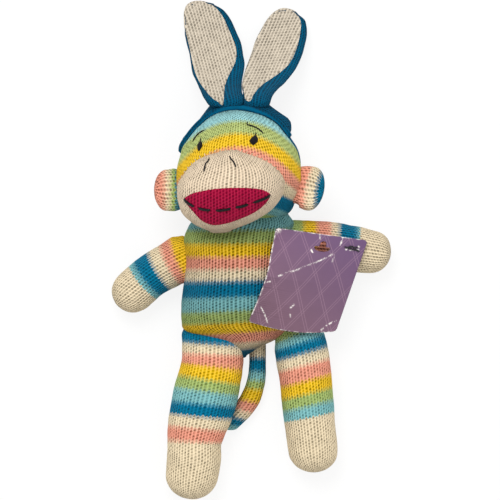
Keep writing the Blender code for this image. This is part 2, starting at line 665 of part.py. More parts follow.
def make_face():
    """The eyes, brows, nostrils and the running stitch along the mouth."""
    head_tree = form_tree(head_form, 0.0, BODY_SEGMENTS)
    muzzle_tree = form_tree(muzzle_form, 0.0, BODY_SEGMENTS)
    patch_tree = form_tree(muzzle_form, -SEAM_GAP - MOUTH_PATCH_WALL, BODY_SEGMENTS)
    for side, x, y in (("left", EYE_LEFT_X, EYE_LEFT_Y), ("right", EYE_RIGHT_X, EYE_RIGHT_Y)):
        point, normal = surface_above(head_tree, x, y)
        size = (EYE_WIDTH, EYE_HEIGHT, EYE_THICKNESS)
        eye = add_object("eye_" + side, ellipsoid_mesh("eye", Vector(), size, EYE_SEGMENTS),
                         PARTS, "thread")
        eye.location = point + normal * (EYE_THICKNESS / 2 + THREAD_LIFT)
        eye.rotation_mode = "QUATERNION"
        upright = Matrix.Rotation(math.radians(EYE_SLANT), 3, "Z").to_quaternion()
        eye.rotation_quaternion = Vector((0.0, 0.0, 1.0)).rotation_difference(normal) @ upright
    for side, x, y, slant in (("left", BROW_LEFT_X, BROW_LEFT_Y, BROW_LEFT_SLANT),
                              ("right", BROW_RIGHT_X, BROW_RIGHT_Y, BROW_RIGHT_SLANT)):
        add_thread("brow_" + side, arc_run(x, y, BROW_LENGTH, BROW_RISE, slant, THREAD_POINTS),
                   head_tree)
    for name, x, slant in (("nostril_left", NOSTRIL_LEFT_X, 90.0 - NOSTRIL_SPLAY),
                           ("nostril_right", NOSTRIL_RIGHT_X, 90.0 + NOSTRIL_SPLAY)):
        add_thread(name, arc_run(x, NOSTRIL_Y, NOSTRIL_LENGTH, 0.0, slant, THREAD_POINTS),
                   muzzle_tree)
    line = [Vector((MOUTH_X + x * MOUTH_WIDTH, MOUTH_Y + y * MOUTH_HEIGHT))
            for x, y in STITCH_LINE_SHARES]
    add_thread("mouth_stitching", even_run(line, MOUTH_POINTS), patch_tree)


def even_run(line, count):
    """Evenly spaced places along a line of points."""
    lengths = [(after - before).length for before, after in zip(line, line[1:])]
    run = []
    for step in range(count):
        distance = sum(lengths) * step / (count - 1)
        for before, after, length in zip(line, line[1:], lengths):
            if distance <= length or after is line[-1]:
                run.append(tuple(before.lerp(after, min(1.0, distance / length))))
                break
            distance -= length
    return run


def make_ears():
    """The monkey's own ears, flat pads sewn along the sides of the head."""
    for side, x, y, width, height in (
            ("left", EAR_LEFT_X, EAR_LEFT_Y, EAR_LEFT_WIDTH, EAR_LEFT_HEIGHT),
            ("right", EAR_RIGHT_X, EAR_RIGHT_Y, EAR_RIGHT_WIDTH, EAR_RIGHT_HEIGHT)):
        mesh = ellipsoid_mesh("ear", Vector((x, y, EAR_MID_HEIGHT)),
                              (width, height, EAR_THICKNESS), OUTER_SEGMENTS)
        ear = add_object("ear_" + side, mesh, PARTS, "pink")
        cut(ear, head_clearance)
        cut(ear, muzzle_clearance)


def make_cap():
    """The bunny cap: a thick knitted hood over the back of the head, and its two ears."""
    centre = Vector((CAP_X, CAP_Y, CAP_DEPTH / 2 - FLAT_DEPTH))
    mesh = ellipsoid_mesh("cap", centre, (CAP_WIDTH, CAP_LENGTH, CAP_DEPTH), BODY_SEGMENTS,
                          CAP_TURN)
    cap = add_object("bunny_cap", mesh, PARTS, "blue")
    cut(cap, head_clearance)
    rim = (Matrix.Translation((CAP_X, CAP_RIM_Y, CAP_RIM_HEIGHT))
           @ Matrix.Rotation(math.radians(CAP_RIM_SLOPE), 4, "X"))
    front = box_cutter("cap_front_cut", (CAP_WIDTH * 2, CAP_LENGTH * 4, CAP_DEPTH * 2),
                       rim @ Matrix.Rotation(math.pi, 4, "X"))
    nape = (Matrix.Translation((CAP_X, CAP_NAPE_Y, 0.0)) @ Matrix.Rotation(-math.pi / 2, 4, "X"))
    cut(cap, front)
    cut(cap, box_cutter("cap_nape_cut", (CAP_WIDTH * 2, CAP_DEPTH * 4, CAP_LENGTH), nape))
    cut(cap, FLOOR_CUT)
    for name, form in bunny_forms.items():
        cut(cap, channel_cutter(name + "_seat", form, BUNNY_SEAT_GAP))
        add_object(name + "_back", form_mesh(form, 0.0, OUTER_SEGMENTS, BUNNY_CUP), PARTS, "blue")
        lining_form = form._replace(width=form.width - 2 * LINING_MARGIN, root_reach=LINING_MARGIN,
                                    tip_reach=form.tip_reach - LINING_MARGIN,
                                    shares=form.shares[1:])
        lining = add_object(name + "_lining", form_mesh(lining_form, 0.0, OUTER_SEGMENTS,
                                                        BUNNY_CUP), PARTS, "cream")
        lining.location.z = LINING_THICKNESS
        clearance = add_object(name + "_clearance", form_mesh(form, -SEAM_GAP, OUTER_SEGMENTS,
                                                              BUNNY_CUP), CUTTERS)
        cut(lining, clearance)
        cut(cap, clearance)


def make_limbs():
    """Both arms, both legs and the tail."""
    for name, form in limb_forms.items():
        stuffed_piece(name, form, "striped", OUTER_SEGMENTS, INNER_SEGMENTS)
    stuffed_piece("tail", tail_form, "striped", TAIL_SEGMENTS, TAIL_SEGMENTS)


def tag_matrix():
    """Where the card lies: its pin hole, its turn and its slope up over the belly."""
    return (Matrix.Translation((TAG_PIN_X, TAG_PIN_Y, TAG_PIN_HEIGHT))
            @ Matrix.Rotation(math.radians(TAG_TURN), 4, "Z")
            @ Matrix.Rotation(math.radians(TAG_SLOPE), 4, "Y"))


def make_tag():
    """The card with its hang hole, and the nylon pin that holds it to the shoulder seam."""
    right, top = TAG_PIN_FROM_RIGHT, TAG_PIN_FROM_TOP
    left, bottom = right - TAG_WIDTH, top - TAG_HEIGHT
    outline = []
    for corner_x, corner_y, start in ((right, top, 0), (left, top, 90), (left, bottom, 180),
                                      (right, bottom, 270)):
        inward = Vector((-math.copysign(1, corner_x - (left + right) / 2),
                         -math.copysign(1, corner_y - (top + bottom) / 2)))
        centre = Vector((corner_x, corner_y)) + inward * TAG_CORNER
        for step in range(CORNER_POINTS):
            angle = math.radians(start + 90.0 * step / (CORNER_POINTS - 1))
            outline.append((centre.x + TAG_CORNER * math.cos(angle),
                            centre.y + TAG_CORNER * math.sin(angle)))
    hang_hole = [(x * HANG_HOLE_WIDTH - HANG_HOLE_FROM_PIN, y * HANG_HOLE_HEIGHT - HANG_HOLE_DROP)
                 for x, y in HANG_HOLE_SHARES]
    pin_hole = [(TAG_PIN_HOLE_RADIUS * math.cos(math.tau * step / PIN_HOLE_POINTS),
                 TAG_PIN_HOLE_RADIUS * math.sin(math.tau * step / PIN_HOLE_POINTS))
                for step in range(PIN_HOLE_POINTS)]
    card = curve_to_mesh(flat_outline("tag_card", outline, TAG_THICKNESS, (hang_hole, pin_hole)),
                         PARTS, "card")
    card.matrix_world = tag_matrix()

    torso_tree = form_tree(torso_form, 0.0, BODY_SEGMENTS)
    anchor = torso_tree.ray_cast(Vector((TAG_PIN_X, PIN_ANCHOR_Y, PIN_ANCHOR_HEIGHT)),
                                 Vector((-1.0, 0.0, 0.0)))
    pin_top = tag_matrix() @ Vector((0.0, 0.0, TAG_THICKNESS / 2 + SEAM_GAP + PIN_BAR_RADIUS))
    under = tag_matrix() @ Vector((0.0, 0.0, -TAG_THICKNESS / 2 - 2 * PIN_CORD_RADIUS))
    end = anchor[0] + anchor[1] * (SEAM_GAP + PIN_CORD_RADIUS)
    route = [pin_top, under]
    for step in range(1, CORD_POINTS):
        share = step / CORD_POINTS
        place = under.lerp(end, share)
        place.y += PIN_CORD_BOW * math.sin(math.pi * share)
        route.append(place)
    route.append(end)
    cord = tube_object("tag_fastener", route, PIN_CORD_RADIUS, 2)
    half_bar = (tag_matrix().to_3x3() @ Vector((PIN_BAR_LENGTH / 2, 0.0, 0.0)))
    bar = tube_object("pin_bar", [pin_top - half_bar, pin_top + half_bar], PIN_BAR_RADIUS, 2)
    bar = curve_to_mesh(bar, CUTTERS)
    cut(curve_to_mesh(cord, PARTS, "nylon"), bar, "UNION")


def tube_object(name, points, radius, resolution):
    """A round tube through the points."""
    curve = bpy.data.curves.new(name, "CURVE")
    curve.dimensions = "3D"
    curve.bevel_depth = radius
    curve.bevel_resolution = resolution
    curve.use_fill_caps = True
    spline = curve.splines.new("POLY")
    spline.points.add(len(points) - 1)
    for place, point in zip(spline.points, points):
        place.co = (*point, 1.0)
    made = bpy.data.objects.new(name, curve)
    PARTS.objects.link(made)
    return made


def hang_pieces():
    """Parents each moving body's pieces to an empty on its joint."""
    fixed = ("torso_skin", "torso_stuffing", "tag_fastener")
    joints = {"bunny_ear_left": bunny_forms["bunny_ear_left"].root,
              "bunny_ear_right": bunny_forms["bunny_ear_right"].root,
              **{name: form.root for name, form in limb_forms.items()},
              "tail": tail_form.root, "tag": tag_matrix().translation}
    groups = {name: [] for name in joints}
    head = []
    for piece in PARTS.objects:
        body = next((name for name in joints if piece.name.startswith(name)), None)
        if piece.name in fixed:
            continue
        groups.get(body, head).append(piece)
    for name, place in joints.items():
        hang(name + "_joint", place, groups[name])
    hang("neck_joint", head_form.root, head)


make_torso()
make_head()
make_mouth()
make_face()
make_ears()
make_cap()
make_limbs()
make_tag()
hang_pieces()
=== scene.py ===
"""A knitted monkey doll in a bunny-eared hood, lying on its back with a card swing tag.

Every size is in millimetres unless a name or docstring says otherwise. A place on the photograph is
in its pixels, and Sight turns it into a place on the doll.
"""
import logging
import math
from dataclasses import dataclass
from enum import Enum
from functools import cached_property
from typing import Any, Iterable, Sequence

import bmesh
import bpy
import numpy as np
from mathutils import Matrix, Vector, noise
from mathutils.bvhtree import BVHTree


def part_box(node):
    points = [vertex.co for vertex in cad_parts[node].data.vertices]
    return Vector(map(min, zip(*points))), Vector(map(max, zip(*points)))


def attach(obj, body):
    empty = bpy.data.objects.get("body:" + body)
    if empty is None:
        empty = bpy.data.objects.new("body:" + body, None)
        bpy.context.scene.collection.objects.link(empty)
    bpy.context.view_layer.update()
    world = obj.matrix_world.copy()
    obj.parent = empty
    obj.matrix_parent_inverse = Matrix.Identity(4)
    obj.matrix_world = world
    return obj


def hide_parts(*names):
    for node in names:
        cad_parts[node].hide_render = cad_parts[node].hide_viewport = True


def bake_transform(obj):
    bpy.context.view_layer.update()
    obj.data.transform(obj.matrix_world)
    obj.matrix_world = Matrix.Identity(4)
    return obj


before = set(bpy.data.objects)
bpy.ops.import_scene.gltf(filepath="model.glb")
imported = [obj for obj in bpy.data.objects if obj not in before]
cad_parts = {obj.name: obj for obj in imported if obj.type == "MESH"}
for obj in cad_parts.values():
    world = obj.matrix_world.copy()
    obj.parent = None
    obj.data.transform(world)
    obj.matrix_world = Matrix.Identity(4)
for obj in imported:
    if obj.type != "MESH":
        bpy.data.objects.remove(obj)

LOG = logging.getLogger("sock_monkey")
MM = 0.001
WALE = 4.8
COURSE = 2.45
FLOOR_GAP = 0.25
WHOLE = 400.0
Point = tuple[float, float]
Place = tuple[float, float, float]
Hinge = tuple[str, Place, Place]
Bands = tuple[tuple[float, "Yarn"], ...]


def linear(code: str) -> tuple[float, float, float, float]:
    """Turns an sRGB hex code into a linear colour.

    Args:
        code: six hex digits after a hash sign.

    Returns:
        Linear red, green and blue, and an alpha of 1.
    """
    shares = [int(code[place:place + 2], 16) / 255.0 for place in (1, 3, 5)]
    lit = [share / 12.92 if share <= 0.04045 else ((share + 0.055) / 1.055) ** 2.4 for share in shares]
    return (lit[0], lit[1], lit[2], 1.0)


class Yarn(Enum):
    """The yarns' colours in sRGB, as they look where light falls on them. The head's lighter light blue and
    green carry painted light, and the lining's colour carries painted shade.
    """

    BLUE = "#0c7498"
    LIGHT_BLUE = "#84c0c2"
    # Painted light: the head's light blue and green are lighter copies of LIGHT_BLUE and GREEN, as the head is
    # lit more.
    LIT_LIGHT_BLUE = "#a2d8da"
    GREEN = "#a8be72"
    LIT_GREEN = "#b8c67c"
    YELLOW = "#f3c637"
    PINK = "#f0a189"
    WHITE = "#eedcb9"
    CREAM = "#f1debb"
    MUZZLE = "#edd8bc"
    # The lining's cream yarn, darker than at its lit rim: partly painted shade from the ear's hollow.
    SHADED_LINING = "#d2c6b3"
    CAP = "#005678"
    MAGENTA = "#a81f42"


def plain(yarn: Yarn) -> Bands:
    """One yarn over the whole of a piece."""
    return ((WHOLE, yarn),)


# The photograph's view

@dataclass(frozen=True)
class Sight:
    """The camera, straight above the doll, and what its pixels see."""

    image_side: float = 500.0
    pixel: float = 0.775
    level: float = 30.0
    height: float = 4200.0
    sensor: float = 36.0

    def place(self, across: float, down: float, height: float) -> Vector:
        """Finds the place that a pixel sees at a height.

        Args:
            across: pixels from the image's left side.
            down: pixels from the image's top.
            height: height over the floor.

        Returns:
            The place in metres.
        """
        scale = self.pixel * (self.height - height) / (self.height - self.level)
        middle = self.image_side / 2
        return Vector(((across - middle) * scale, (middle - down) * scale, height)) * MM

    def eye(self) -> Vector:
        """The camera's place in metres."""
        return Vector((0.0, 0.0, self.height)) * MM

    def seen(self, tree: BVHTree, across: float, down: float) -> tuple[Vector, Vector]:
        """Finds what a pixel sees of a surface, or the nearest place on it.

        Args:
            tree: the surface.
            across: pixels from the image's left side.
            down: pixels from the image's top.

        Returns:
            The place in metres, and the surface's normal there.
        """
        aim = self.place(across, down, self.level)
        found = tree.ray_cast(self.eye(), (aim - self.eye()).normalized())
        if found[0] is None:
            found = tree.find_nearest(aim)
        normal = found[1] if found[1].z > 0 else -found[1]
        return found[0], normal

    def lens(self) -> float:
        """The focal length that frames the photograph."""
        return self.sensor * (self.height - self.level) / (self.image_side * self.pixel)


SIGHT = Sight()


def tree_of(piece: bpy.types.Object) -> BVHTree:
    """A search tree over a piece's own mesh."""
    return BVHTree.FromPolygons([piece.matrix_world @ v.co for v in piece.data.vertices],
                                [list(f.vertices) for f in piece.data.polygons])


def smooth_line(points: Sequence[Sequence[float]], count: int, closed: bool = False) -> np.ndarray:
    """Runs an even, smooth line through points.

    Args:
        points: the points, of any number of coordinates.
        count: how many places to return.
        closed: whether the line returns to its start.

    Returns:
        The places, one row each, evenly spaced in the parameter's length.
    """
    knots = np.array(points, float)
    if closed:
        knots = np.vstack([knots, knots[:1]])
    steps = np.linalg.norm(np.diff(knots[:, :2], axis=0), axis=1)
    at = np.concatenate([[0.0], np.cumsum(np.maximum(steps, 1e-9))])
    slopes = np.gradient(knots, at, axis=0)
    if closed:
        joined = (knots[1] - knots[-2]) / (at[1] + at[-1] - at[-2])
        slopes[0] = slopes[-1] = joined
    where = np.linspace(0.0, at[-1], count, endpoint=not closed)
    part = np.clip(np.searchsorted(at, where, side="right") - 1, 0, len(at) - 2)
    span = at[part + 1] - at[part]
    t = ((where - at[part]) / span)[:, None]
    span = span[:, None]
    return ((2 * t**3 - 3 * t**2 + 1) * knots[part] + (t**3 - 2 * t**2 + t) * span * slopes[part]
            + (3 * t**2 - 2 * t**3) * knots[part + 1] + (t**3 - t**2) * span * slopes[part + 1])


# Meshes

def ring_faces(rows: int, columns: int) -> tuple[np.ndarray, np.ndarray]:
    """Joins closed rings of places with quads.

    Args:
        rows: how many rings.
        columns: how many places on a ring.

    Returns:
        The quads, and the column and row of each of their corners, one row each.
    """
    row, ring = (numbers.ravel() for numbers in np.mgrid[0:rows - 1, 0:columns])
    after, low, high = (ring + 1) % columns, row * columns, (row + 1) * columns
    quads = np.column_stack([low + ring, high + ring, high + after, low + after])
    corners = np.column_stack([ring, row, ring, row + 1, ring + 1, row + 1, ring + 1, row])
    return quads, corners.reshape(-1, 2).astype(float)


def write_map(mesh: bpy.types.Mesh, name: str, places: np.ndarray) -> None:
    """Writes a UV map, with one row of places for each of the mesh's face corners."""
    mesh.uv_layers.new(name=name).uv.foreach_set("vector", places.astype(np.float32).ravel())


def in_square(shares: np.ndarray) -> np.ndarray:
    """Fits shares of 0 to 1 in the baking map's square, clear of its edges."""
    return shares * 0.98 + 0.01


def hang(name: str, mesh: bpy.types.Mesh, material: bpy.types.Material, body: str,
         replaces: Sequence[str] = (), hinge: Hinge | None = None,
         shell: Point | None = None) -> bpy.types.Object:
    """Dresses a mesh, puts it in the scene and hangs it on its body, unless it has a hinge; a hinged piece only
    has its place baked into its mesh.

    Args:
        name: the piece's name.
        mesh: its mesh.
        material: its finish.
        body: the body that it rides on.
        replaces: the CAD nodes that it stands for.
        hinge: the body that the piece would bend from, and the places in metres where that bend would
        start and end. Only whether it is given is read.
        shell: for a piece built as a sheet, its thickness and the side that this lies on.

    Returns:
        The piece.
    """
    mesh.shade_smooth()
    mesh.materials.clear()
    mesh.materials.append(material)
    piece = bpy.data.objects.new(name, mesh)
    bpy.context.scene.collection.objects.link(piece)
    if shell:
        solid = piece.modifiers.new("thickness", "SOLIDIFY")
        solid.thickness, solid.offset = shell[0] * MM, shell[1]
    if hinge:
        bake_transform(piece)
    else:
        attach(piece, body)
    if replaces:
        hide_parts(*replaces)
    LOG.info("%s: %d faces", name, len(mesh.polygons))
    return piece


# Materials

def add_node(tree: bpy.types.NodeTree, kind: str, links: dict | None = None, **settings: Any) -> Any:
    """Adds a node with its settings and its inputs.

    Args:
        tree: the material's node tree.
        kind: the node's type.
        links: what each input takes, by name or number: a value, or a socket to link.
        **settings: the node's own properties.

    Returns:
        The node.
    """
    made = tree.nodes.new(kind)
    for name, value in settings.items():
        setattr(made, name, value)
    for key, value in (links or {}).items():
        if isinstance(value, bpy.types.NodeSocket):
            tree.links.new(value, made.inputs[key])
        else:
            made.inputs[key].default_value = value
    return made


def work_out(tree: bpy.types.NodeTree, known: dict[str, Any], steps: Iterable[tuple]) -> dict[str, Any]:
    """Adds math nodes for a list of sums.

    Args:
        tree: the material's node tree.
        known: sockets by name.
        steps: rows of a new name, a math operation and its terms, which are names or numbers.

    Returns:
        The sockets by name, with the new ones.
    """
    for name, operation, *terms in steps:
        links = {place: known.get(term, term) for place, term in enumerate(terms)}
        known[name] = add_node(tree, "ShaderNodeMath", links, operation=operation).outputs[0]
    return known


def new_material(name: str) -> tuple[bpy.types.Material, bpy.types.NodeTree, Any]:
    """Makes a material.

    Args:
        name: the material's name.

    Returns:
        The material, its node tree and its shader.
    """
    made = bpy.data.materials.new(name)
    made.use_nodes = True
    return made, made.node_tree, made.node_tree.nodes["Principled BSDF"]


# Plain knit shows as a net of yarn round holes, and the holes get painted shade: the yarn's colour darkens
# there, where shade falls in. The holes stand in columns half a wale apart, and each column is half a course
# lower than the next. Places run along u in wales and along v in courses. A hole leans by HOLE_LEAN of a
# course and fades over its width and height, so that a larger HOLE_NARROW or HOLE_LOW makes it smaller.
# Where the yarn changes, the edge runs up and down by TOOTH of a course.
HOLE_LEAN = 0.35
HOLE_NARROW = 3.9
HOLE_LOW = 3.1
TOOTH = 1.3
TOOTH_DROP = 0.3
STITCH = (
    ("halves", "MULTIPLY", "u", 2.0),
    ("rounded", "ADD", "halves", 0.5),
    ("column", "FLOOR", "rounded"),
    ("aside", "SUBTRACT", "halves", "column"),
    ("half_column", "MULTIPLY", "column", 0.5),
    ("stagger", "FRACT", "half_column"),
    ("staggered", "SUBTRACT", "v", "stagger"),
    ("shaken", "ADD", "staggered", "shake"),
    ("course", "FLOOR", "shaken"),
    ("strand", "FRACT", "shaken"),
    ("along", "SUBTRACT", "strand", 0.5),
    ("lean", "MULTIPLY_ADD", "aside", HOLE_LEAN, "along"),
    ("wide", "MULTIPLY", "aside", HOLE_NARROW),
    ("tall", "MULTIPLY", "lean", HOLE_LOW),
    ("wide_squared", "MULTIPLY", "wide", "wide"),
    ("tall_squared", "MULTIPLY", "tall", "tall"),
    ("reach", "ADD", "wide_squared", "tall_squared"),
    ("fall", "MULTIPLY", "reach", -1.0),
    ("hole", "EXPONENT", "fall"),
    ("apart", "ABSOLUTE", "aside"),
    ("tooth", "MULTIPLY", "apart", TOOTH),
    ("toothed", "SUBTRACT", "v", "tooth"),
    ("half_stagger", "MULTIPLY_ADD", "stagger", 0.5, -TOOTH_DROP),
    ("edge", "SUBTRACT", "toothed", "half_stagger"),
    ("yarn_course", "FLOOR", "edge"),
)


@dataclass(frozen=True)
class KnitFinish:
    """Machine-knitted acrylic yarn: matt, soft at its edges, with painted shade in the hole beside each stitch.

    The stitches are 4.8 mm wide and 2.45 mm tall, as the photograph shows. The yarn's own fibres are
    far under a pixel, so its fuzz is drawn at 0.8 mm. A range is a spread and the least value.
    """

    name: str
    bands: Bands
    # How far painted shade darkens the yarn in a stitch's hole; darkest caps it, and hole_richness makes the
    # shaded yarn richer in colour.
    hole_shade: float = 0.8
    # rib darkens the yarn in the grooves between wales as painted shade, and also sets how deep their bump is.
    rib: float = 0.12
    # An even darkening of the whole piece: painted shade for a piece that lies in another's shadow.
    tone_and_painted_shade: float = 1.0
    blend: float = 0.8
    cream_blend: float = 0.1
    relief: float = 1.0
    fuzz_relief: float = 0.3
    rib_relief: float = 1.5
    wander_size: float = 6.0
    mottle_size: float = 9.0
    fuzz_size: float = 0.8
    shake: float = 0.12
    hole_range: Point = (0.7, 0.5)
    mottle_range: Point = (0.24, 0.88)
    fuzz_range: Point = (0.36, 0.84)
    darkest: float = 0.92
    hole_richness: float = 0.3
    roughness: float = 0.95
    specular: float = 0.06
    sheen: float = 0.02
    sheen_roughness: float = 0.5

    def build(self) -> bpy.types.Material:
        """Builds the material.

        Returns:
            The material.
        """
        made, tree, shader = new_material(self.name)
        knit = add_node(tree, "ShaderNodeUVMap", uv_map="Knit")
        apart = add_node(tree, "ShaderNodeSeparateXYZ", {0: knit.outputs[0]})
        place = add_node(tree, "ShaderNodeTexCoord").outputs["Object"]
        wander = add_node(tree, "ShaderNodeTexNoise",
                          {"Vector": place, "Scale": 1 / (self.wander_size * MM)})
        known = work_out(tree, {"u": apart.outputs[0], "v": apart.outputs[1],
                                "wander": wander.outputs["Fac"]},
                         (("shake", "MULTIPLY_ADD", "wander", 2 * self.shake, -self.shake), *STITCH))
        yarns = self.striped(tree, known)
        stitch = add_node(tree, "ShaderNodeCombineXYZ", {0: known["column"], 1: known["course"]})
        chance = add_node(tree, "ShaderNodeTexWhiteNoise", {"Vector": stitch.outputs[0]})
        mottle = add_node(tree, "ShaderNodeTexNoise",
                          {"Vector": place, "Scale": 1 / (self.mottle_size * MM), "Detail": 3.0})
        fuzz = add_node(tree, "ShaderNodeTexNoise",
                        {"Vector": place, "Scale": 1 / (self.fuzz_size * MM), "Detail": 4.0})
        known.update(chance=chance.outputs["Value"], mottle=mottle.outputs["Fac"],
                     fuzz=fuzz.outputs["Fac"])
        # Painted shade: each hole darkens the yarn and makes it richer in colour, as shade falls into it.
        known = work_out(tree, known, (
            ("open", "MULTIPLY_ADD", "chance", *self.hole_range),
            ("deep", "MULTIPLY", "hole", "open"),
            ("dark", "MULTIPLY", "deep", self.hole_shade),
            ("dark_share", "MINIMUM", "dark", self.darkest),
            ("shade", "SUBTRACT", 1.0, "dark_share"),
            ("patchy", "MULTIPLY_ADD", "mottle", *self.mottle_range),
            ("fibre", "MULTIPLY_ADD", "fuzz", *self.fuzz_range),
            ("toned", "MULTIPLY", "patchy", "fibre"),
            # Painted shade in the grooves between wales: the colour darkens there by rib, and the bump dents by
            # it too.
            ("turns", "MULTIPLY", "halves", math.tau),
            ("wave", "COSINE", "turns"),
            ("groove", "MULTIPLY_ADD", "wave", 0.5, 0.5),
            ("groove_shade", "MULTIPLY_ADD", "groove", -self.rib, 1.0),
            ("lit", "MULTIPLY", "toned", "groove_shade"),
            ("shaded", "MULTIPLY", "lit", "shade"),
            # The piece's painted shade, laid evenly over all of it.
            ("value", "MULTIPLY", "shaded", self.tone_and_painted_shade),
            ("richness", "MULTIPLY_ADD", "dark_share", self.hole_richness, 1.0),
            ("soft", "MULTIPLY", "fuzz", self.fuzz_relief),
            ("dented", "MULTIPLY_ADD", "groove", -self.rib_relief * self.rib, "soft"),
            ("bumps", "SUBTRACT", "dented", "deep"),
        ))
        colour = add_node(tree, "ShaderNodeHueSaturation",
                          {"Saturation": known["richness"], "Value": known["value"], "Color": yarns})
        bump = add_node(tree, "ShaderNodeBump", {"Strength": 1.0, "Distance": self.relief * MM,
                                                 "Height": known["bumps"]})
        tree.links.new(colour.outputs[0], shader.inputs["Base Color"])
        tree.links.new(bump.outputs[0], shader.inputs["Normal"])
        shader.inputs["Roughness"].default_value = self.roughness
        shader.inputs["Specular IOR Level"].default_value = self.specular
        shader.inputs["Sheen Weight"].default_value = self.sheen
        shader.inputs["Sheen Roughness"].default_value = self.sheen_roughness
        return made

    def striped(self, tree: bpy.types.NodeTree, known: dict[str, Any]) -> Any:
        """Gives each band its yarn. Bands end at a course, and each passes softly into the next.

        Args:
            tree: the material's node tree.
            known: its sockets by name.

        Returns:
            The socket of the yarns' colour.
        """
        total = self.bands[-1][0]
        known = work_out(tree, known, (("middle", "ADD", "yarn_course", 0.5),
                                       ("share", "DIVIDE", "middle", total)))
        ramp = add_node(tree, "ShaderNodeValToRGB", {0: known["share"]})
        marks = [(0.0, self.bands[0][1])]
        for (end, yarn), (_, following) in zip(self.bands, self.bands[1:]):
            half = self.cream_blend if Yarn.CREAM in (yarn, following) else self.blend
            marks += [((end - half) / total, yarn), ((end + half) / total, following)]
        marks += [(1.0, self.bands[-1][1])]
        stops = ramp.color_ramp.elements
        for number, (spot, yarn) in enumerate(marks):
            stop = stops[number] if number < 2 else stops.new(spot)
            stop.position = spot
            stop.color = linear(yarn.value)
        return ramp.outputs[0]


@dataclass(frozen=True)
class ThreadFinish:
    """Stranded embroidery cotton: two plies twisted, with a low satin shine along the strand.

    The plies turn every 0.5 mm and are drawn at 1.2 mm so that they show; the grooves between them get painted
    shade.
    """

    name: str
    code: str
    ply: float = 1.2
    wear_size: float = 2.5
    wear_range: Point = (0.8, 0.6)
    ply_shade_range: Point = (0.5, 0.6)
    relief: float = 0.25
    roughness: float = 0.5
    specular: float = 0.25

    def build(self) -> bpy.types.Material:
        """Builds the material.

        Returns:
            The material.
        """
        made, tree, shader = new_material(self.name)
        place = add_node(tree, "ShaderNodeTexCoord").outputs["Object"]
        plies = add_node(tree, "ShaderNodeTexWave", {"Vector": place, "Scale": 1 / (self.ply * 2 * MM),
                                                     "Distortion": 1.5, "Detail": 1.0},
                         bands_direction="DIAGONAL")
        wear = add_node(tree, "ShaderNodeTexNoise", {"Vector": place, "Scale": 1 / (self.wear_size * MM)})
        known = work_out(tree, {"plies": plies.outputs["Fac"], "wear": wear.outputs["Fac"]}, (
            ("worn", "MULTIPLY_ADD", "wear", *self.wear_range),
            # Painted shade in the grooves between the plies.
            ("ply_shade", "MULTIPLY_ADD", "plies", *self.ply_shade_range),
            ("value", "MULTIPLY", "worn", "ply_shade"),
        ))
        colour = add_node(tree, "ShaderNodeHueSaturation",
                          {"Value": known["value"], "Color": linear(self.code)})
        bump = add_node(tree, "ShaderNodeBump", {"Strength": 0.8, "Distance": self.relief * MM,
                                                 "Height": plies.outputs["Fac"]})
        tree.links.new(colour.outputs[0], shader.inputs["Base Color"])
        tree.links.new(bump.outputs[0], shader.inputs["Normal"])
        shader.inputs["Roughness"].default_value = self.roughness
        shader.inputs["Specular IOR Level"].default_value = self.specular
        return made


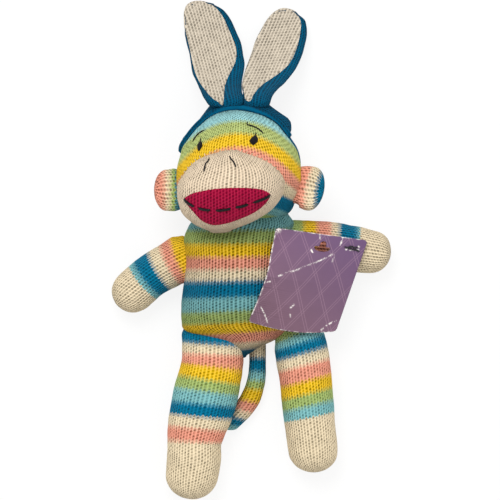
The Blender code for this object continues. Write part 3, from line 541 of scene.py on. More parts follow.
@dataclass(frozen=True)
class CardFinish:
    """Lithographed card with a thin aqueous coating: a plain lattice in a paler ink, rubbed creases, and the
    pin's glints painted pale on it.

    The lattice's diamonds are 19 mm apart, and each of their sides is a pair of 0.5 mm lines 2.2 mm
    apart. The ink changes a little from the card's lower left corner to its far one. A range is a
    spread and the least value, and a scuff stands where its noise passes a level.
    """

    name: str = "printed_card"
    ink: str = "#7a5a6c"
    far_ink: str = "#694c76"
    line_ink: str = "#a88699"
    # The pale of rubbed card, and also of the painted glints under the pin.
    worn: str = "#eee6e2"
    pitch: float = 19.0
    slope: float = 0.62
    pair: float = 0.115
    line_width: float = 0.028
    line_share: float = 0.45
    fade_up: float = 0.010
    fade_across: float = 0.006
    fade_start: float = 0.25
    grain_size: float = 1.1
    cloud_size: float = 22.0
    scuff_size: float = 3.5
    grain_scuff: Point = (4.0, -1.6)
    broken_scuff: Point = (7.0, -3.4)
    cloud_range: Point = (0.16, 0.92)
    grain_range: Point = (0.06, 0.97)
    relief: float = 0.1
    roughness: float = 0.48
    specular: float = 0.4

    def build(self) -> bpy.types.Material:
        """Builds the material. Its map runs in millimetres from the card's lower left corner.

        Returns:
            The material.
        """
        made, tree, shader = new_material(self.name)
        print_map = add_node(tree, "ShaderNodeUVMap", uv_map="Print")
        apart = add_node(tree, "ShaderNodeSeparateXYZ", {0: print_map.outputs[0]})
        printed = self.lattice(tree, {"x": apart.outputs[0], "y": apart.outputs[1]})
        place = add_node(tree, "ShaderNodeTexCoord").outputs["Object"]
        grain = add_node(tree, "ShaderNodeTexNoise", {"Vector": place, "Detail": 3.0,
                                                      "Scale": 1 / (self.grain_size * MM)})
        cloud = add_node(tree, "ShaderNodeTexNoise", {"Vector": place,
                                                      "Scale": 1 / (self.cloud_size * MM)})
        broken = add_node(tree, "ShaderNodeTexNoise", {"Vector": place,
                                                       "Scale": 1 / (self.scuff_size * MM)})
        # Where the card is rubbed pale, and where the pin's glints are painted pale on it.
        wear_and_glint = add_node(tree, "ShaderNodeAttribute", attribute_name="wear_and_glint")
        known = work_out(tree, {"grain": grain.outputs["Fac"], "cloud": cloud.outputs["Fac"],
                                "wear_and_glint": wear_and_glint.outputs["Fac"], "broken": broken.outputs["Fac"]}, (
            ("fine", "MULTIPLY_ADD", "grain", *self.grain_scuff),
            ("scuff", "MULTIPLY_ADD", "broken", *self.broken_scuff),
            ("scuffed", "ADD", "fine", "scuff"),
            ("rubbed_and_glint", "MULTIPLY", "wear_and_glint", "scuffed"),
            ("wear", "MINIMUM", "rubbed_and_glint", 1.0),
            ("wear_and_glint_share", "MAXIMUM", "wear", 0.0),
            ("tone_and_painted_shade", "MULTIPLY_ADD", "cloud", *self.cloud_range),
            ("speck", "MULTIPLY_ADD", "grain", *self.grain_range),
            ("value", "MULTIPLY", "tone_and_painted_shade", "speck"),
        ))
        toned = add_node(tree, "ShaderNodeHueSaturation", {"Value": known["value"], "Color": printed})
        colour = add_node(tree, "ShaderNodeMix", {"Factor": known["wear_and_glint_share"], 6: toned.outputs[0],
                                                  7: linear(self.worn)}, data_type="RGBA")
        bump = add_node(tree, "ShaderNodeBump", {"Strength": 0.3, "Distance": self.relief * MM,
                                                 "Height": known["grain"]})
        tree.links.new(colour.outputs[2], shader.inputs["Base Color"])
        tree.links.new(bump.outputs[0], shader.inputs["Normal"])
        shader.inputs["Roughness"].default_value = self.roughness
        shader.inputs["Specular IOR Level"].default_value = self.specular
        return made

    def lattice(self, tree: bpy.types.NodeTree, known: dict[str, Any]) -> Any:
        """Prints pairs of lines that cross in diamonds on the ink.

        Args:
            tree: the material's node tree.
            known: the sockets of the map's x and y.

        Returns:
            The socket of the print's colour.
        """
        for way, slope in (("rise", self.slope), ("drop", -self.slope)):
            known = work_out(tree, known, (
                (way + "_lean", "MULTIPLY", "y", slope),
                (way + "_sum", "ADD", "x", way + "_lean"),
                (way + "_cells", "DIVIDE", way + "_sum", self.pitch),
                (way + "_part", "FRACT", way + "_cells"),
                (way + "_off", "SUBTRACT", way + "_part", 0.5),
                (way + "_from", "ABSOLUTE", way + "_off"),
                (way + "_pair", "SUBTRACT", way + "_from", self.pair / 2),
                (way + "_gap", "ABSOLUTE", way + "_pair"),
                (way + "_line", "LESS_THAN", way + "_gap", self.line_width / 2),
            ))
        known = work_out(tree, known, (("lines", "MAXIMUM", "rise_line", "drop_line"),
                                       ("line_share", "MULTIPLY", "lines", self.line_share),
                                       ("up", "MULTIPLY", "y", self.fade_up),
                                       ("far", "MULTIPLY_ADD", "x", self.fade_across, "up"),
                                       ("far_share", "SUBTRACT", "far", self.fade_start)))
        ink = add_node(tree, "ShaderNodeMix", {"Factor": known["far_share"], 6: linear(self.ink),
                                               7: linear(self.far_ink)}, data_type="RGBA")
        printed = add_node(tree, "ShaderNodeMix", {"Factor": known["line_share"], 6: ink.outputs[2],
                                                   7: linear(self.line_ink)}, data_type="RGBA")
        return printed.outputs[2]


@dataclass(frozen=True)
class NylonFinish:
    """Moulded black nylon: a low gloss, with faint flow marks from the mould."""

    name: str = "moulded_nylon"
    code: str = "#17151b"
    flow_size: float = 1.5
    flow_range: Point = (0.6, 0.7)
    relief: float = 0.08
    roughness: float = 0.2

    def build(self) -> bpy.types.Material:
        """Builds the material.

        Returns:
            The material.
        """
        made, tree, shader = new_material(self.name)
        place = add_node(tree, "ShaderNodeTexCoord").outputs["Object"]
        flow = add_node(tree, "ShaderNodeTexNoise", {"Vector": place, "Scale": 1 / (self.flow_size * MM)})
        known = work_out(tree, {"flow": flow.outputs["Fac"]},
                         (("value", "MULTIPLY_ADD", "flow", *self.flow_range),))
        colour = add_node(tree, "ShaderNodeHueSaturation",
                          {"Value": known["value"], "Color": linear(self.code)})
        bump = add_node(tree, "ShaderNodeBump", {"Strength": 0.3, "Distance": self.relief * MM,
                                                 "Height": flow.outputs["Fac"]})
        tree.links.new(colour.outputs[0], shader.inputs["Base Color"])
        tree.links.new(bump.outputs[0], shader.inputs["Normal"])
        shader.inputs["Roughness"].default_value = self.roughness
        return made


BLACK_THREAD = ThreadFinish("black_embroidery_cotton", "#070509", roughness=0.4)
CREAM_THREAD = ThreadFinish("cream_sewing_cotton", "#e2d2b0", ply=0.9, roughness=0.7)


# Knitted tubes

@dataclass(frozen=True)
class Station:
    """A cross-section of a tube: its middle and width on the photograph, its depth and its lowest point."""

    across: float
    down: float
    wide: float
    deep: float
    low: float


@dataclass(frozen=True)
class Pleats:
    """Gathers where a tube is drawn in: their number, depth and reach along the tube."""

    count: int
    deep: float
    reach: float


@dataclass(frozen=True)
class KnitTube:
    """A stuffed knitted tube, closed at both ends, from its upper end to its lower one.

    Its stations and bands are on the photograph, and bands end where their last stitches do.
    """

    name: str
    body: str
    replaces: tuple[str, ...]
    stations: tuple[Station, ...]
    start_round: float
    end_round: float
    wales: int
    bands: Bands
    slot: str
    reads: str = "down"
    fill: float = 0.8
    square: bool = False
    skews: tuple[float, ...] = (0.0,)
    bow: float = 0.0
    fullness: float = 2.15
    end_fullness: float = 2.3
    lumps: float = 0.7
    lump_size: float = 19.0
    fine_lumps: float = 0.35
    start_pleats: Pleats | None = None
    end_pleats: Pleats | None = None
    cup: float = 0.0
    dish: float = 0.0
    fall: float = 0.0
    fall_side: float = 0.0
    hinge: Hinge | None = None
    # How far painted shade darkens each stitch's hole.
    hole_shade: float = 0.54
    rib: float = 0.12
    # An even darkening of the whole tube: painted shade for one that lies in another's shadow.
    tone_and_painted_shade: float = 1.0
    columns_in_wale: int = 4
    rows_in_course: int = 2
    line_steps: int = 500
    end_steps: int = 60

    def rings(self) -> tuple[np.ndarray, np.ndarray, np.ndarray, np.ndarray]:
        """Works out the rings, one for every half course along the tube's top.

        Returns:
            The rings' middles, sideways directions and half sizes in millimetres, and the length
            along the top to each.
        """
        rows = []
        for s in self.stations:
            spot = SIGHT.place(s.across, s.down, s.low + s.deep / 2) / MM
            rows.append((spot.x, spot.y, s.wide * SIGHT.pixel / 2, s.deep / 2, s.low))
        line = smooth_line(rows, self.line_steps)
        steps = np.gradient(line[:, :2], axis=0)
        ways = steps / np.linalg.norm(steps, axis=1)[:, None]
        if self.square:
            ways[:] = (0.0, math.copysign(1.0, line[-1, 1] - line[0, 1]))
        skews = np.radians(np.interp(np.linspace(0, 1, len(line)), np.linspace(0, 1, len(self.skews)),
                                     self.skews))
        before = self.rounded_end(line[0], ways[0], -self.start_round)[::-1]
        behind = self.rounded_end(line[-1], ways[-1], self.end_round)
        line = np.vstack([before, line, behind])
        ways = np.vstack([np.tile(ways[0], (len(before), 1)), ways, np.tile(ways[-1], (len(behind), 1))])
        skews = np.concatenate([np.full(len(before), skews[0]), skews, np.full(len(behind), skews[-1])])
        ways = np.column_stack([ways[:, 0] * np.cos(skews) - ways[:, 1] * np.sin(skews),
                                ways[:, 0] * np.sin(skews) + ways[:, 1] * np.cos(skews)])
        top = np.column_stack([line[:, 0], line[:, 1], line[:, 4] + 2 * line[:, 3]])
        length = np.concatenate([[0.0], np.cumsum(np.linalg.norm(np.diff(top, axis=0), axis=1))])
        count = max(8, round(length[-1] / COURSE * self.rows_in_course))
        at = np.linspace(0.0, length[-1], count + 1)
        line = np.column_stack([np.interp(at, length, line[:, k]) for k in range(5)])
        ways = np.column_stack([np.interp(at, length, ways[:, k]) for k in range(2)])
        ways /= np.linalg.norm(ways, axis=1)[:, None]
        middles = np.column_stack([line[:, 0], line[:, 1], line[:, 4] + line[:, 3]])
        return middles, np.column_stack([ways[:, 1], -ways[:, 0]]), line[:, 2:4], at

    def rounded_end(self, row: np.ndarray, way: np.ndarray, reach: float) -> np.ndarray:
        """Works out the rows that close one end of the tube.

        Args:
            row: the tube's last row: its middle's x and y, half its width and depth, its lowest z.
            way: the direction along the tube there.
            reach: how far the end goes on, less than 0 against that direction.

        Returns:
            The rows, from the tube outwards.
        """
        rows = []
        for step in range(1, self.end_steps + 1):
            share = 1 - (1 - step / self.end_steps) ** 2
            swell = math.sqrt(max(0.0, 1 - share ** self.end_fullness))
            rows.append((*(row[:2] + way * (reach * share)), row[2] * swell, row[3] * swell,
                         row[4] + row[3] - row[3] * swell))
        return np.array(rows)

    def courses(self, middles: np.ndarray, halves: np.ndarray, at: np.ndarray) -> Bands:
        """Turns the bands' ends on the photograph into courses.

        Args:
            middles: the rings' middles.
            halves: the rings' half sizes.
            at: the length along the tube to each ring.

        Returns:
            The bands, which end at courses.
        """
        tops = middles[:, 2] + halves[:, 1]
        scale = SIGHT.pixel * (SIGHT.height - tops) / (SIGHT.height - SIGHT.level)
        side = {"down": -middles[:, 1], "right": middles[:, 0], "left": -middles[:, 0]}[self.reads]
        sign = -1 if self.reads == "left" else 1
        found = []
        for end, yarn in self.bands:
            goal = sign * (end - SIGHT.image_side / 2)
            found.append((float(np.interp(goal, side / scale, at)) / COURSE, yarn))
        found[-1] = (at[-1] / COURSE + 3.0, found[-1][1])
        return tuple(found)

    def build(self) -> bpy.types.Object:
        """Builds the tube, dresses it and hangs it on its body, unless it has a hinge.

        Returns:
            The tube.
        """
        middles, sides, halves, at = self.rings()
        columns = self.wales * self.columns_in_wale
        angles = np.arange(columns) / columns * math.tau
        power = 2 / self.fullness
        across, rise = (np.sign(turn) * np.abs(turn) ** power for turn in (np.cos(angles), np.sin(angles)))
        bulge = np.zeros((len(at), columns))
        for pleats, far in ((self.start_pleats, at), (self.end_pleats, at[-1] - at)):
            if pleats:
                fade = np.exp(-(far / pleats.reach) ** 2)[:, None]
                bulge += fade * pleats.deep * np.cos(angles * pleats.count + 0.7 * np.sin(3 * angles))
        wide, deep = (np.maximum(half + bulge * np.minimum(1.0, half / 8), 0.02)
                      for half in (halves[:, :1], halves[:, 1:]))
        places = np.empty((len(at), columns, 3))
        places[:, :, :2] = middles[:, None, :2] + sides[:, None, :] * (wide * across)[:, :, None]
        places[:, :, 2] = middles[:, 2:] + deep * rise
        ahead = np.column_stack([-sides[:, 1], sides[:, 0]]) * self.bow * SIGHT.pixel
        widest = halves[:, 0].max()
        shares = (halves[:, :1] / widest) * (1 - across ** 2)
        places[:, :, :2] += ahead[:, None, :] * shares[:, :, None]
        places[:, :, 2] += self.cup * (wide * across / widest) ** 2
        if self.dish:
            inner = np.clip(1 - (across[None, :]) ** 2 * 1.35, 0, 1) * (halves[:, :1] / widest)
            places[:, :, 2] -= self.dish * inner * np.clip(rise, 0, 1)[None, :]
        flat = self.lumpy(places.reshape(-1, 3), np.repeat(middles, columns, axis=0))
        flat[:, 2] = np.maximum(flat[:, 2], FLOOR_GAP)
        finish = KnitFinish(self.name, self.courses(middles, halves, at), self.hole_shade, self.rib, self.tone_and_painted_shade)
        return hang(self.name, self.mesh(flat, len(at), columns, at), finish.build(), self.body,
                    self.replaces, self.hinge)

    def lumpy(self, flat: np.ndarray, middles: np.ndarray) -> np.ndarray:
        """Pushes the skin in and out as uneven stuffing does.

        Args:
            flat: the places in millimetres.
            middles: the middle of each place's ring.

        Returns:
            The places.
        """
        outward = flat - middles
        size = np.linalg.norm(outward, axis=1)
        swell = np.array([noise.noise(Vector(p) / self.lump_size) for p in flat])
        fine = np.array([noise.noise(Vector(p) / (self.lump_size / 3)) for p in flat])
        push = (swell + self.fine_lumps * fine) * self.lumps * np.minimum(1.0, size / 6.0)
        return flat + outward / np.maximum(size, 1e-6)[:, None] * push[:, None]

    def mesh(self, flat: np.ndarray, rows: int, columns: int, at: np.ndarray) -> bpy.types.Mesh:
        """Joins the rings into a closed mesh with its two maps.

        Args:
            flat: the places, ring by ring, in millimetres.
            rows: how many rings.
            columns: how many places on a ring.
            at: the length along the tube to each ring.

        Returns:
            The mesh, in metres.
        """
        quads, corners = ring_faces(rows, columns)
        made = bpy.data.meshes.new(self.name)
        end_faces = [list(range(columns)), list(range((rows - 1) * columns, rows * columns))[::-1]]
        made.from_pydata((flat * MM).tolist(), [], quads.tolist() + end_faces)
        ends = [(c, 0.0) for c in range(columns)] + [(c, rows - 1.0) for c in range(columns)][::-1]
        corners = np.vstack([corners, np.array(ends, float)])
        length = np.interp(corners[:, 1], np.arange(rows), at)
        across = flat.reshape(rows, columns, 3)[:, :, 0]
        aside = across - across.mean(axis=1)[:, None] + self.fall_side
        drop = self.fall * aside[corners[:, 1].astype(int), corners[:, 0].astype(int) % columns] ** 2
        turn = corners[:, 0] / columns
        write_map(made, "Knit", np.column_stack([turn * self.wales, (length - drop) / COURSE]))
        write_map(made, "OFBake", in_square(np.column_stack([turn, length / at[-1]])))
        made.update()
        return made


@dataclass(frozen=True)
class SewnPatch:
    """A piece of knit sewn flat on another piece, inside an outline on the photograph."""

    name: str
    body: str
    replaces: tuple[str, ...]
    outline: tuple[Point, ...]
    thick: float
    bands: Bands
    slot: str
    turn: float = 0.0
    rings: int = 22
    points: int = 120
    # How far painted shade darkens each stitch's hole.
    hole_shade: float = 0.55
    rib: float = 0.12
    fill: float = 0.15
    hinge: Hinge | None = None
    wraps: bool = False
    lump: float = 0.25
    lump_size: float = 7.0
    sunk: float = 0.35
    level_rounds: int = 80

    def build(self, carrier: bpy.types.Object) -> bpy.types.Object:
        """Builds the patch on its carrier's surface.

        Args:
            The patch, riding on its body unless it has a hinge.

        Returns:
            The patch, riding on its body.
        """
        tree = tree_of(carrier)
        edge = smooth_line(self.outline, self.points, closed=True)
        middle = edge.mean(axis=0)
        places, pixels, past = [], [], []
        for ring in range(self.rings + 1):
            share = ring / self.rings
            for spot in edge:
                pixel = middle + (spot - middle) * share
                seat, normal = SIGHT.seen(tree, *pixel)
                aside = (SIGHT.place(*pixel, seat.z / MM) - seat).length / MM
                past.append(aside if aside > 0.1 else -1.0)
                lift = self.thick * (1 - share ** 9) ** 0.5 - self.sunk * (ring == self.rings)
                lift += self.lump * noise.noise(Vector((*pixel, 0.0)) / self.lump_size) * (1 - share ** 4)
                places.append(seat + normal * (lift * MM))
                pixels.append(pixel)
        if self.wraps:
            places = self.carried(places, np.array(pixels), np.array(past))
        faces = np.roll(ring_faces(self.rings + 1, self.points)[0], 1, axis=1)
        made = bpy.data.meshes.new(self.name)
        made.from_pydata([tuple(p) for p in places], [], faces.tolist())
        turn = math.radians(self.turn)
        flat = np.array(pixels) * SIGHT.pixel @ np.array([[math.cos(turn), -math.sin(turn)],
                                                          [math.sin(turn), math.cos(turn)]])
        flat -= flat.min(axis=0)
        write_map(made, "Knit", (flat / (WALE, COURSE))[faces.ravel()])
        write_map(made, "OFBake", in_square(flat / flat.max(axis=0))[faces.ravel()])
        return hang(self.name, made, KnitFinish(self.name, self.bands, self.hole_shade, self.rib).build(),
                    self.body, self.replaces, self.hinge)

    def carried(self, places: list[Vector], pixels: np.ndarray, past: np.ndarray) -> list[Vector]:
        """Carries the cloth past the carrier's edge at the height of the cloth beside it.

        Args:
            places: the seated places, from the middle ring outwards.
            pixels: the pixel that sees each place.
            past: how far each place lies past the carrier in millimetres, or less than 0 where it is
                well seated.

        Returns:
            The places, with the unseated ones levelled and their last ring turned down.
        """
        grid = (self.rings + 1, self.points)
        heights = np.array([place.z / MM for place in places]).reshape(grid)
        loose = (past >= 0).reshape(grid)
        for ring in range(1, self.rings + 1):
            heights[ring] = np.where(loose[ring], heights[ring - 1], heights[ring])
        for _ in range(self.level_rounds):
            inner, outer = np.vstack([heights[:1], heights[:-1]]), np.vstack([heights[1:], heights[-1:]])
            around = np.roll(heights, 1, axis=1) + np.roll(heights, -1, axis=1)
            heights = np.where(loose, (inner + outer + around) / 4, heights)
        heights -= 0.5 * np.maximum(past.reshape(grid), 0.0)
        heights[-1] -= 0.6 * self.thick
        return [SIGHT.place(*pixel, height) if free else place for place, pixel, height, free
                in zip(places, pixels, heights.ravel(), loose.ravel())]


def thread_piece(name: str, body: str, runs: Sequence[Sequence[Vector]], radius: float,
                 material: bpy.types.Material, replaces: Sequence[str] = ()) -> bpy.types.Object:
    """Lays threads along runs of places.

    Args:
        name: the piece's name.
        body: the body that it rides on.
        runs: the places of each thread, in metres.
        radius: the threads' radius.
        material: its finish.
        replaces: the CAD nodes that it stands for.

    Returns:
        The piece, as one mesh.
    """
    curve = bpy.data.curves.new(name, "CURVE")
    curve.dimensions = "3D"
    curve.bevel_depth = radius * MM
    curve.bevel_resolution = 3
    curve.use_fill_caps = True
    for run in runs:
        spline = curve.splines.new("POLY")
        spline.points.add(len(run) - 1)
        for number, (point, place) in enumerate(zip(spline.points, run)):
            point.co = (*place, 1.0)
            from_end = min(number, len(run) - 1 - number)
            point.radius = (0.55, 0.9)[min(from_end, 1)] if from_end < 2 else 1.0
    source = bpy.data.objects.new(name + "_line", curve)
    bpy.context.scene.collection.objects.link(source)
    bpy.context.view_layer.update()
    mesh = bpy.data.meshes.new_from_object(source.evaluated_get(bpy.context.evaluated_depsgraph_get()))
    bpy.data.objects.remove(source)
    return hang(name, mesh, material, body, replaces)


# Sub-assemblies

@dataclass
class Trunk:
    """The torso, which the other pieces are sewn to, and the tail."""

    # The torso's tone, and its deeper holes and ribs, are painted shade: it lies in the head's shadow.
    torso: KnitTube = KnitTube(
        "torso_knit", "torso", ("torso_skin", "torso_stuffing"),
        (Station(244, 214, 88, 26, 18), Station(242, 223, 103, 42, 8), Station(239.8, 230, 105, 50, 2),
         Station(238.2, 238, 107, 55.5, 0), Station(237.5, 262, 105, 61, -1.5),
         Station(236.8, 285, 106.5, 62.5, -1.5), Station(236, 304, 109.5, 59, -1.5),
         Station(236.5, 318, 110, 52, -1.5), Station(237.5, 326, 107, 45, -0.5),
         Station(242.5, 332, 94, 38, 1.5), Station(246.5, 338, 72, 31, 4), Station(247, 343, 50, 25, 7),
         Station(245, 348, 28, 18, 10), Station(244, 353, 14, 12, 12), Station(243.5, 356, 6, 8, 14)),
        start_round=6.0, end_round=1.5, wales=48,
        bands=((212, Yarn.BLUE), (229, Yarn.LIGHT_BLUE), (242.5, Yarn.GREEN), (255.5, Yarn.YELLOW),
               (268, Yarn.PINK), (279.5, Yarn.WHITE), (296, Yarn.BLUE), (310, Yarn.LIGHT_BLUE),
               (322, Yarn.GREEN), (332, Yarn.YELLOW), (341.5, Yarn.PINK), (349, Yarn.WHITE),
               (370, Yarn.BLUE)),
        slot="striped_knit", square=True, skews=(0.5, 0.5, 1.5, 3.5, 4.5), bow=0.6, fill=0.8, lumps=1.0,
        lump_size=26.0, hole_shade=0.78, rib=0.22, tone_and_painted_shade=0.84, start_pleats=Pleats(17, 1.2, 14.0))
    # The tail's tone is painted shade: its top lies in shade between the legs.
    tail: KnitTube = KnitTube(
        "tail_knit", "tail", ("tail_skin", "tail_stuffing"),
        (Station(257.5, 346, 17, 13, 1), Station(257.6, 358, 16.5, 13, 0),
         Station(257, 373, 17.5, 13, -0.5), Station(254.6, 387, 19, 13, -0.5),
         Station(250, 398.5, 21, 13, -0.5), Station(243, 409, 22, 13, -0.5),
         Station(235, 417.6, 22, 13, -0.5), Station(227, 425.5, 21, 12.5, -0.5)),
        start_round=5.0, end_round=4.0, wales=9,
        bands=((356.5, Yarn.WHITE), (371, Yarn.BLUE), (380, Yarn.LIGHT_BLUE), (388.5, Yarn.GREEN),
               (401, Yarn.YELLOW), (410, Yarn.PINK), (416.5, Yarn.WHITE), (423.5, Yarn.BLUE),
               (440, Yarn.LIGHT_BLUE)),
        slot="striped_knit", fill=0.7, lumps=0.4, lump_size=12.0, skews=(0.0, 0.0, 6.0, 18.0, 28.0, 30.0),
        tone_and_painted_shade=0.85)

    def build(self) -> bpy.types.Object:
        """Builds the tail and the torso. Returns the torso."""
        self.tail.build()
        return self.torso.build()


@dataclass
class Limbs:
    """The arms and the legs, each given a hinge on the torso."""

    arm_left: KnitTube = KnitTube(
        "arm_left_knit", "arm_left", ("arm_left_skin", "arm_left_stuffing"),
        (Station(191, 253.5, 40, 26, 9), Station(184.5, 257.5, 47, 31, 5), Station(172, 263.5, 45, 34.5, 1),
         Station(152, 275.5, 43.5, 36.5, -1.5), Station(136, 288.5, 43.8, 36, -1.5)),
        start_round=5.0, end_round=19.5, wales=23, reads="left",
        bands=((180, Yarn.YELLOW), (169.8, Yarn.PINK), (159.2, Yarn.WHITE), (147, Yarn.BLUE),
               (142, Yarn.LIGHT_BLUE), (90, Yarn.CREAM)),
        slot="striped_knit", bow=3.0, rib=0.24, start_pleats=Pleats(11, 1.0, 8.0),
        hinge=("torso", (-0.0500, 0.0, 0.021), (-0.0690, -0.012, 0.021)))
    arm_right: KnitTube = KnitTube(
        "arm_right_knit", "arm_right", ("arm_right_skin", "arm_right_stuffing"),
        (Station(289, 240, 40, 26, 9), Station(312, 243, 45, 34, 1), Station(340, 246.5, 46, 36.5, -1.5),
         Station(360, 250, 45, 35.5, -1.5), Station(370, 251.6, 43, 34.5, -1.5)),
        start_round=7.0, end_round=16.2, wales=23, reads="right",
        bands=((288.5, Yarn.BLUE), (300, Yarn.GREEN), (313, Yarn.YELLOW), (328, Yarn.PINK),
               (336, Yarn.WHITE), (353, Yarn.BLUE), (356.5, Yarn.LIGHT_BLUE), (400, Yarn.CREAM)),
        slot="striped_knit", bow=2.0, rib=0.24, start_pleats=Pleats(11, 1.0, 9.0),
        hinge=("torso", (0.0300, 0.0, 0.021), (0.0500, 0.0, 0.021)))
    leg_left: KnitTube = KnitTube(
        "leg_left_knit", "leg_left", ("leg_left_skin", "leg_left_stuffing"),
        (Station(213, 329, 57, 18, 8), Station(213, 335, 63, 26, 5), Station(212.8, 343, 62.5, 33, 1.5),
         Station(212.4, 352, 61.5, 37, -0.5), Station(212, 364, 62.5, 39.5, -1.5),
         Station(209, 381, 64, 41, -1.5), Station(204.8, 399, 65.5, 41, -1.5),
         Station(200.6, 416, 63.5, 41, -1.5), Station(197, 430, 58.3, 40.5, -1.5),
         Station(194.4, 443, 54.2, 40, -1.5), Station(193.8, 459, 54.4, 39.5, -1.5),
         Station(192, 473, 52.3, 38, -1.5)),
        start_round=2.5, end_round=20.3, wales=27,
        bands=((344.5, Yarn.BLUE), (354, Yarn.WHITE), (366, Yarn.PINK), (379.5, Yarn.YELLOW),
               (391, Yarn.GREEN), (403.5, Yarn.LIGHT_BLUE), (416.5, Yarn.BLUE), (428, Yarn.WHITE),
               (441.5, Yarn.PINK), (510, Yarn.CREAM)),
        slot="striped_knit", skews=(-4.0, -2.0, -1.0, 1.0, 5.0, 8.0, 9.0, 8.0, 5.0, 0.0, 0.0),
        start_pleats=Pleats(13, 0.7, 8.0),
        hinge=("torso", (-0.0284, -0.0640, 0.018), (-0.0284, -0.0860, 0.018)))
    leg_right: KnitTube = KnitTube(
        "leg_right_knit", "leg_right", ("leg_right_skin", "leg_right_stuffing"),
        (Station(295, 329, 44, 20, 9), Station(298.5, 338, 51, 30, 4), Station(301.8, 352, 53.5, 38, -1),
         Station(304.5, 372, 53, 40.5, -1.5), Station(306.8, 392, 52.5, 41, -1.5),
         Station(309, 412, 51.5, 41, -1.5), Station(311, 430, 50, 40, -1.5),
         Station(312.8, 448, 49.5, 39, -1.5)),
        start_round=5.0, end_round=19.0, wales=26,
        bands=((334, Yarn.GREEN), (342, Yarn.LIGHT_BLUE), (354.2, Yarn.BLUE), (365.2, Yarn.WHITE),
               (380.2, Yarn.PINK), (393.8, Yarn.YELLOW), (405.4, Yarn.GREEN), (418, Yarn.LIGHT_BLUE),
               (480, Yarn.CREAM)),
        slot="striped_knit", skews=(0.0, 4.0, 8.0, 8.0, 8.0, 6.0, 2.0, -2.0),
        start_pleats=Pleats(13, 0.7, 8.0),
        hinge=("torso", (0.0340, -0.0590, 0.018), (0.0340, -0.0800, 0.018)))

    def build(self) -> None:
        """Builds the four limbs."""
        for limb in (self.arm_left, self.arm_right, self.leg_left, self.leg_right):
            limb.build()


@dataclass
class Head:
    """The head, the muzzle sewn over its lower front, and the doll's own ears."""

    head: KnitTube = KnitTube(
        "head_knit", "head", ("head_skin", "head_stuffing"),
        (Station(236.5, 107, 20, 10, 42), Station(237, 110.5, 40, 24, 33), Station(237.5, 115, 58, 38, 25),
         Station(238.5, 120, 71, 48, 19.5), Station(238.5, 126, 83, 57, 14.5),
         Station(238.2, 131, 91, 63, 11.5), Station(238.2, 137, 99.5, 69, 8.5),
         Station(238, 145, 110, 75, 6), Station(238.8, 152, 115.5, 79, 4.2), Station(239, 163, 122, 82, 3.2),
         Station(238.8, 176, 124.5, 82, 3.2), Station(238.8, 185, 123.5, 79, 3.5),
         Station(238.8, 195, 117.5, 70, 5), Station(240.5, 205, 108, 56, 8), Station(242, 212, 98, 44, 11),
         Station(242, 219, 84, 32, 15)),
        start_round=2.0, end_round=6.0, wales=62,
        bands=((104, Yarn.BLUE), (120.3, Yarn.LIT_LIGHT_BLUE), (133, Yarn.LIT_GREEN), (146, Yarn.YELLOW),
               (162, Yarn.PINK), (182.5, Yarn.WHITE), (203, Yarn.BLUE), (211, Yarn.LIGHT_BLUE),
               (240, Yarn.GREEN)),
        slot="striped_knit", square=True, skews=(2.0,), fill=0.9, lumps=0.9, lump_size=24.0,
        fall=0.0121, fall_side=1.6, end_pleats=Pleats(19, 1.0, 12.0))
    muzzle: KnitTube = KnitTube(
        "muzzle_knit", "head", ("muzzle_skin", "muzzle_stuffing"),
        (Station(231, 151.5, 40, 30, 54), Station(230.3, 156, 60, 40, 48.5), Station(230.6, 161, 75, 48, 44),
         Station(231.8, 170.5, 94, 58, 38.5), Station(231.2, 182, 106.5, 65, 35),
         Station(230.5, 193, 106, 66, 34), Station(228.7, 204.7, 98, 61, 36),
         Station(227, 211.5, 89, 54, 40), Station(225, 219, 71, 44, 45), Station(222.5, 226, 46, 31, 51),
         Station(220.5, 230.5, 22, 18, 57)),
        start_round=2.0, end_round=2.0, wales=48, bands=plain(Yarn.MUZZLE),
        slot="cream_knit", square=True, skews=(2.7,), fill=0.9, lumps=0.5, lump_size=16.0,
        hole_shade=0.5, rib=0.2)
    ear_left: KnitTube = KnitTube(
        "ear_left_knit", "head", ("ear_left",),
        (Station(184, 190, 34, 12, 37), Station(175, 190, 42, 15, 36), Station(168, 190, 41, 15, 36)),
        start_round=4.0, end_round=10.8, wales=16, reads="left",
        bands=((175.5, Yarn.BLUE), (172, Yarn.GREEN), (165.5, Yarn.WHITE), (100, Yarn.PINK)),
        slot="pink_knit", fill=0.5, lumps=0.6, lump_size=9.0, dish=3.0, start_pleats=Pleats(8, 0.9, 9.0))
    ear_right: KnitTube = KnitTube(
        "ear_right_knit", "head", ("ear_right",),
        (Station(293, 187, 30, 12, 37), Station(300, 186.5, 41, 15, 36), Station(309, 188, 45, 15, 36)),
        start_round=4.0, end_round=11.9, wales=17, reads="right",
        bands=((308, Yarn.PINK), (317.5, Yarn.WHITE), (340, Yarn.BLUE)),
        slot="pink_knit", fill=0.5, lumps=0.6, lump_size=9.0, dish=3.0, bow=-3.0,
        start_pleats=Pleats(9, 1.3, 10.0))

    def build(self) -> tuple[bpy.types.Object, bpy.types.Object]:
        """Builds the head, the muzzle and the ears.

        Returns:
            The head and the muzzle.
        """
        head = self.head.build()
        muzzle = self.muzzle.build()
        self.ear_left.build()
        self.ear_right.build()
        return head, muzzle


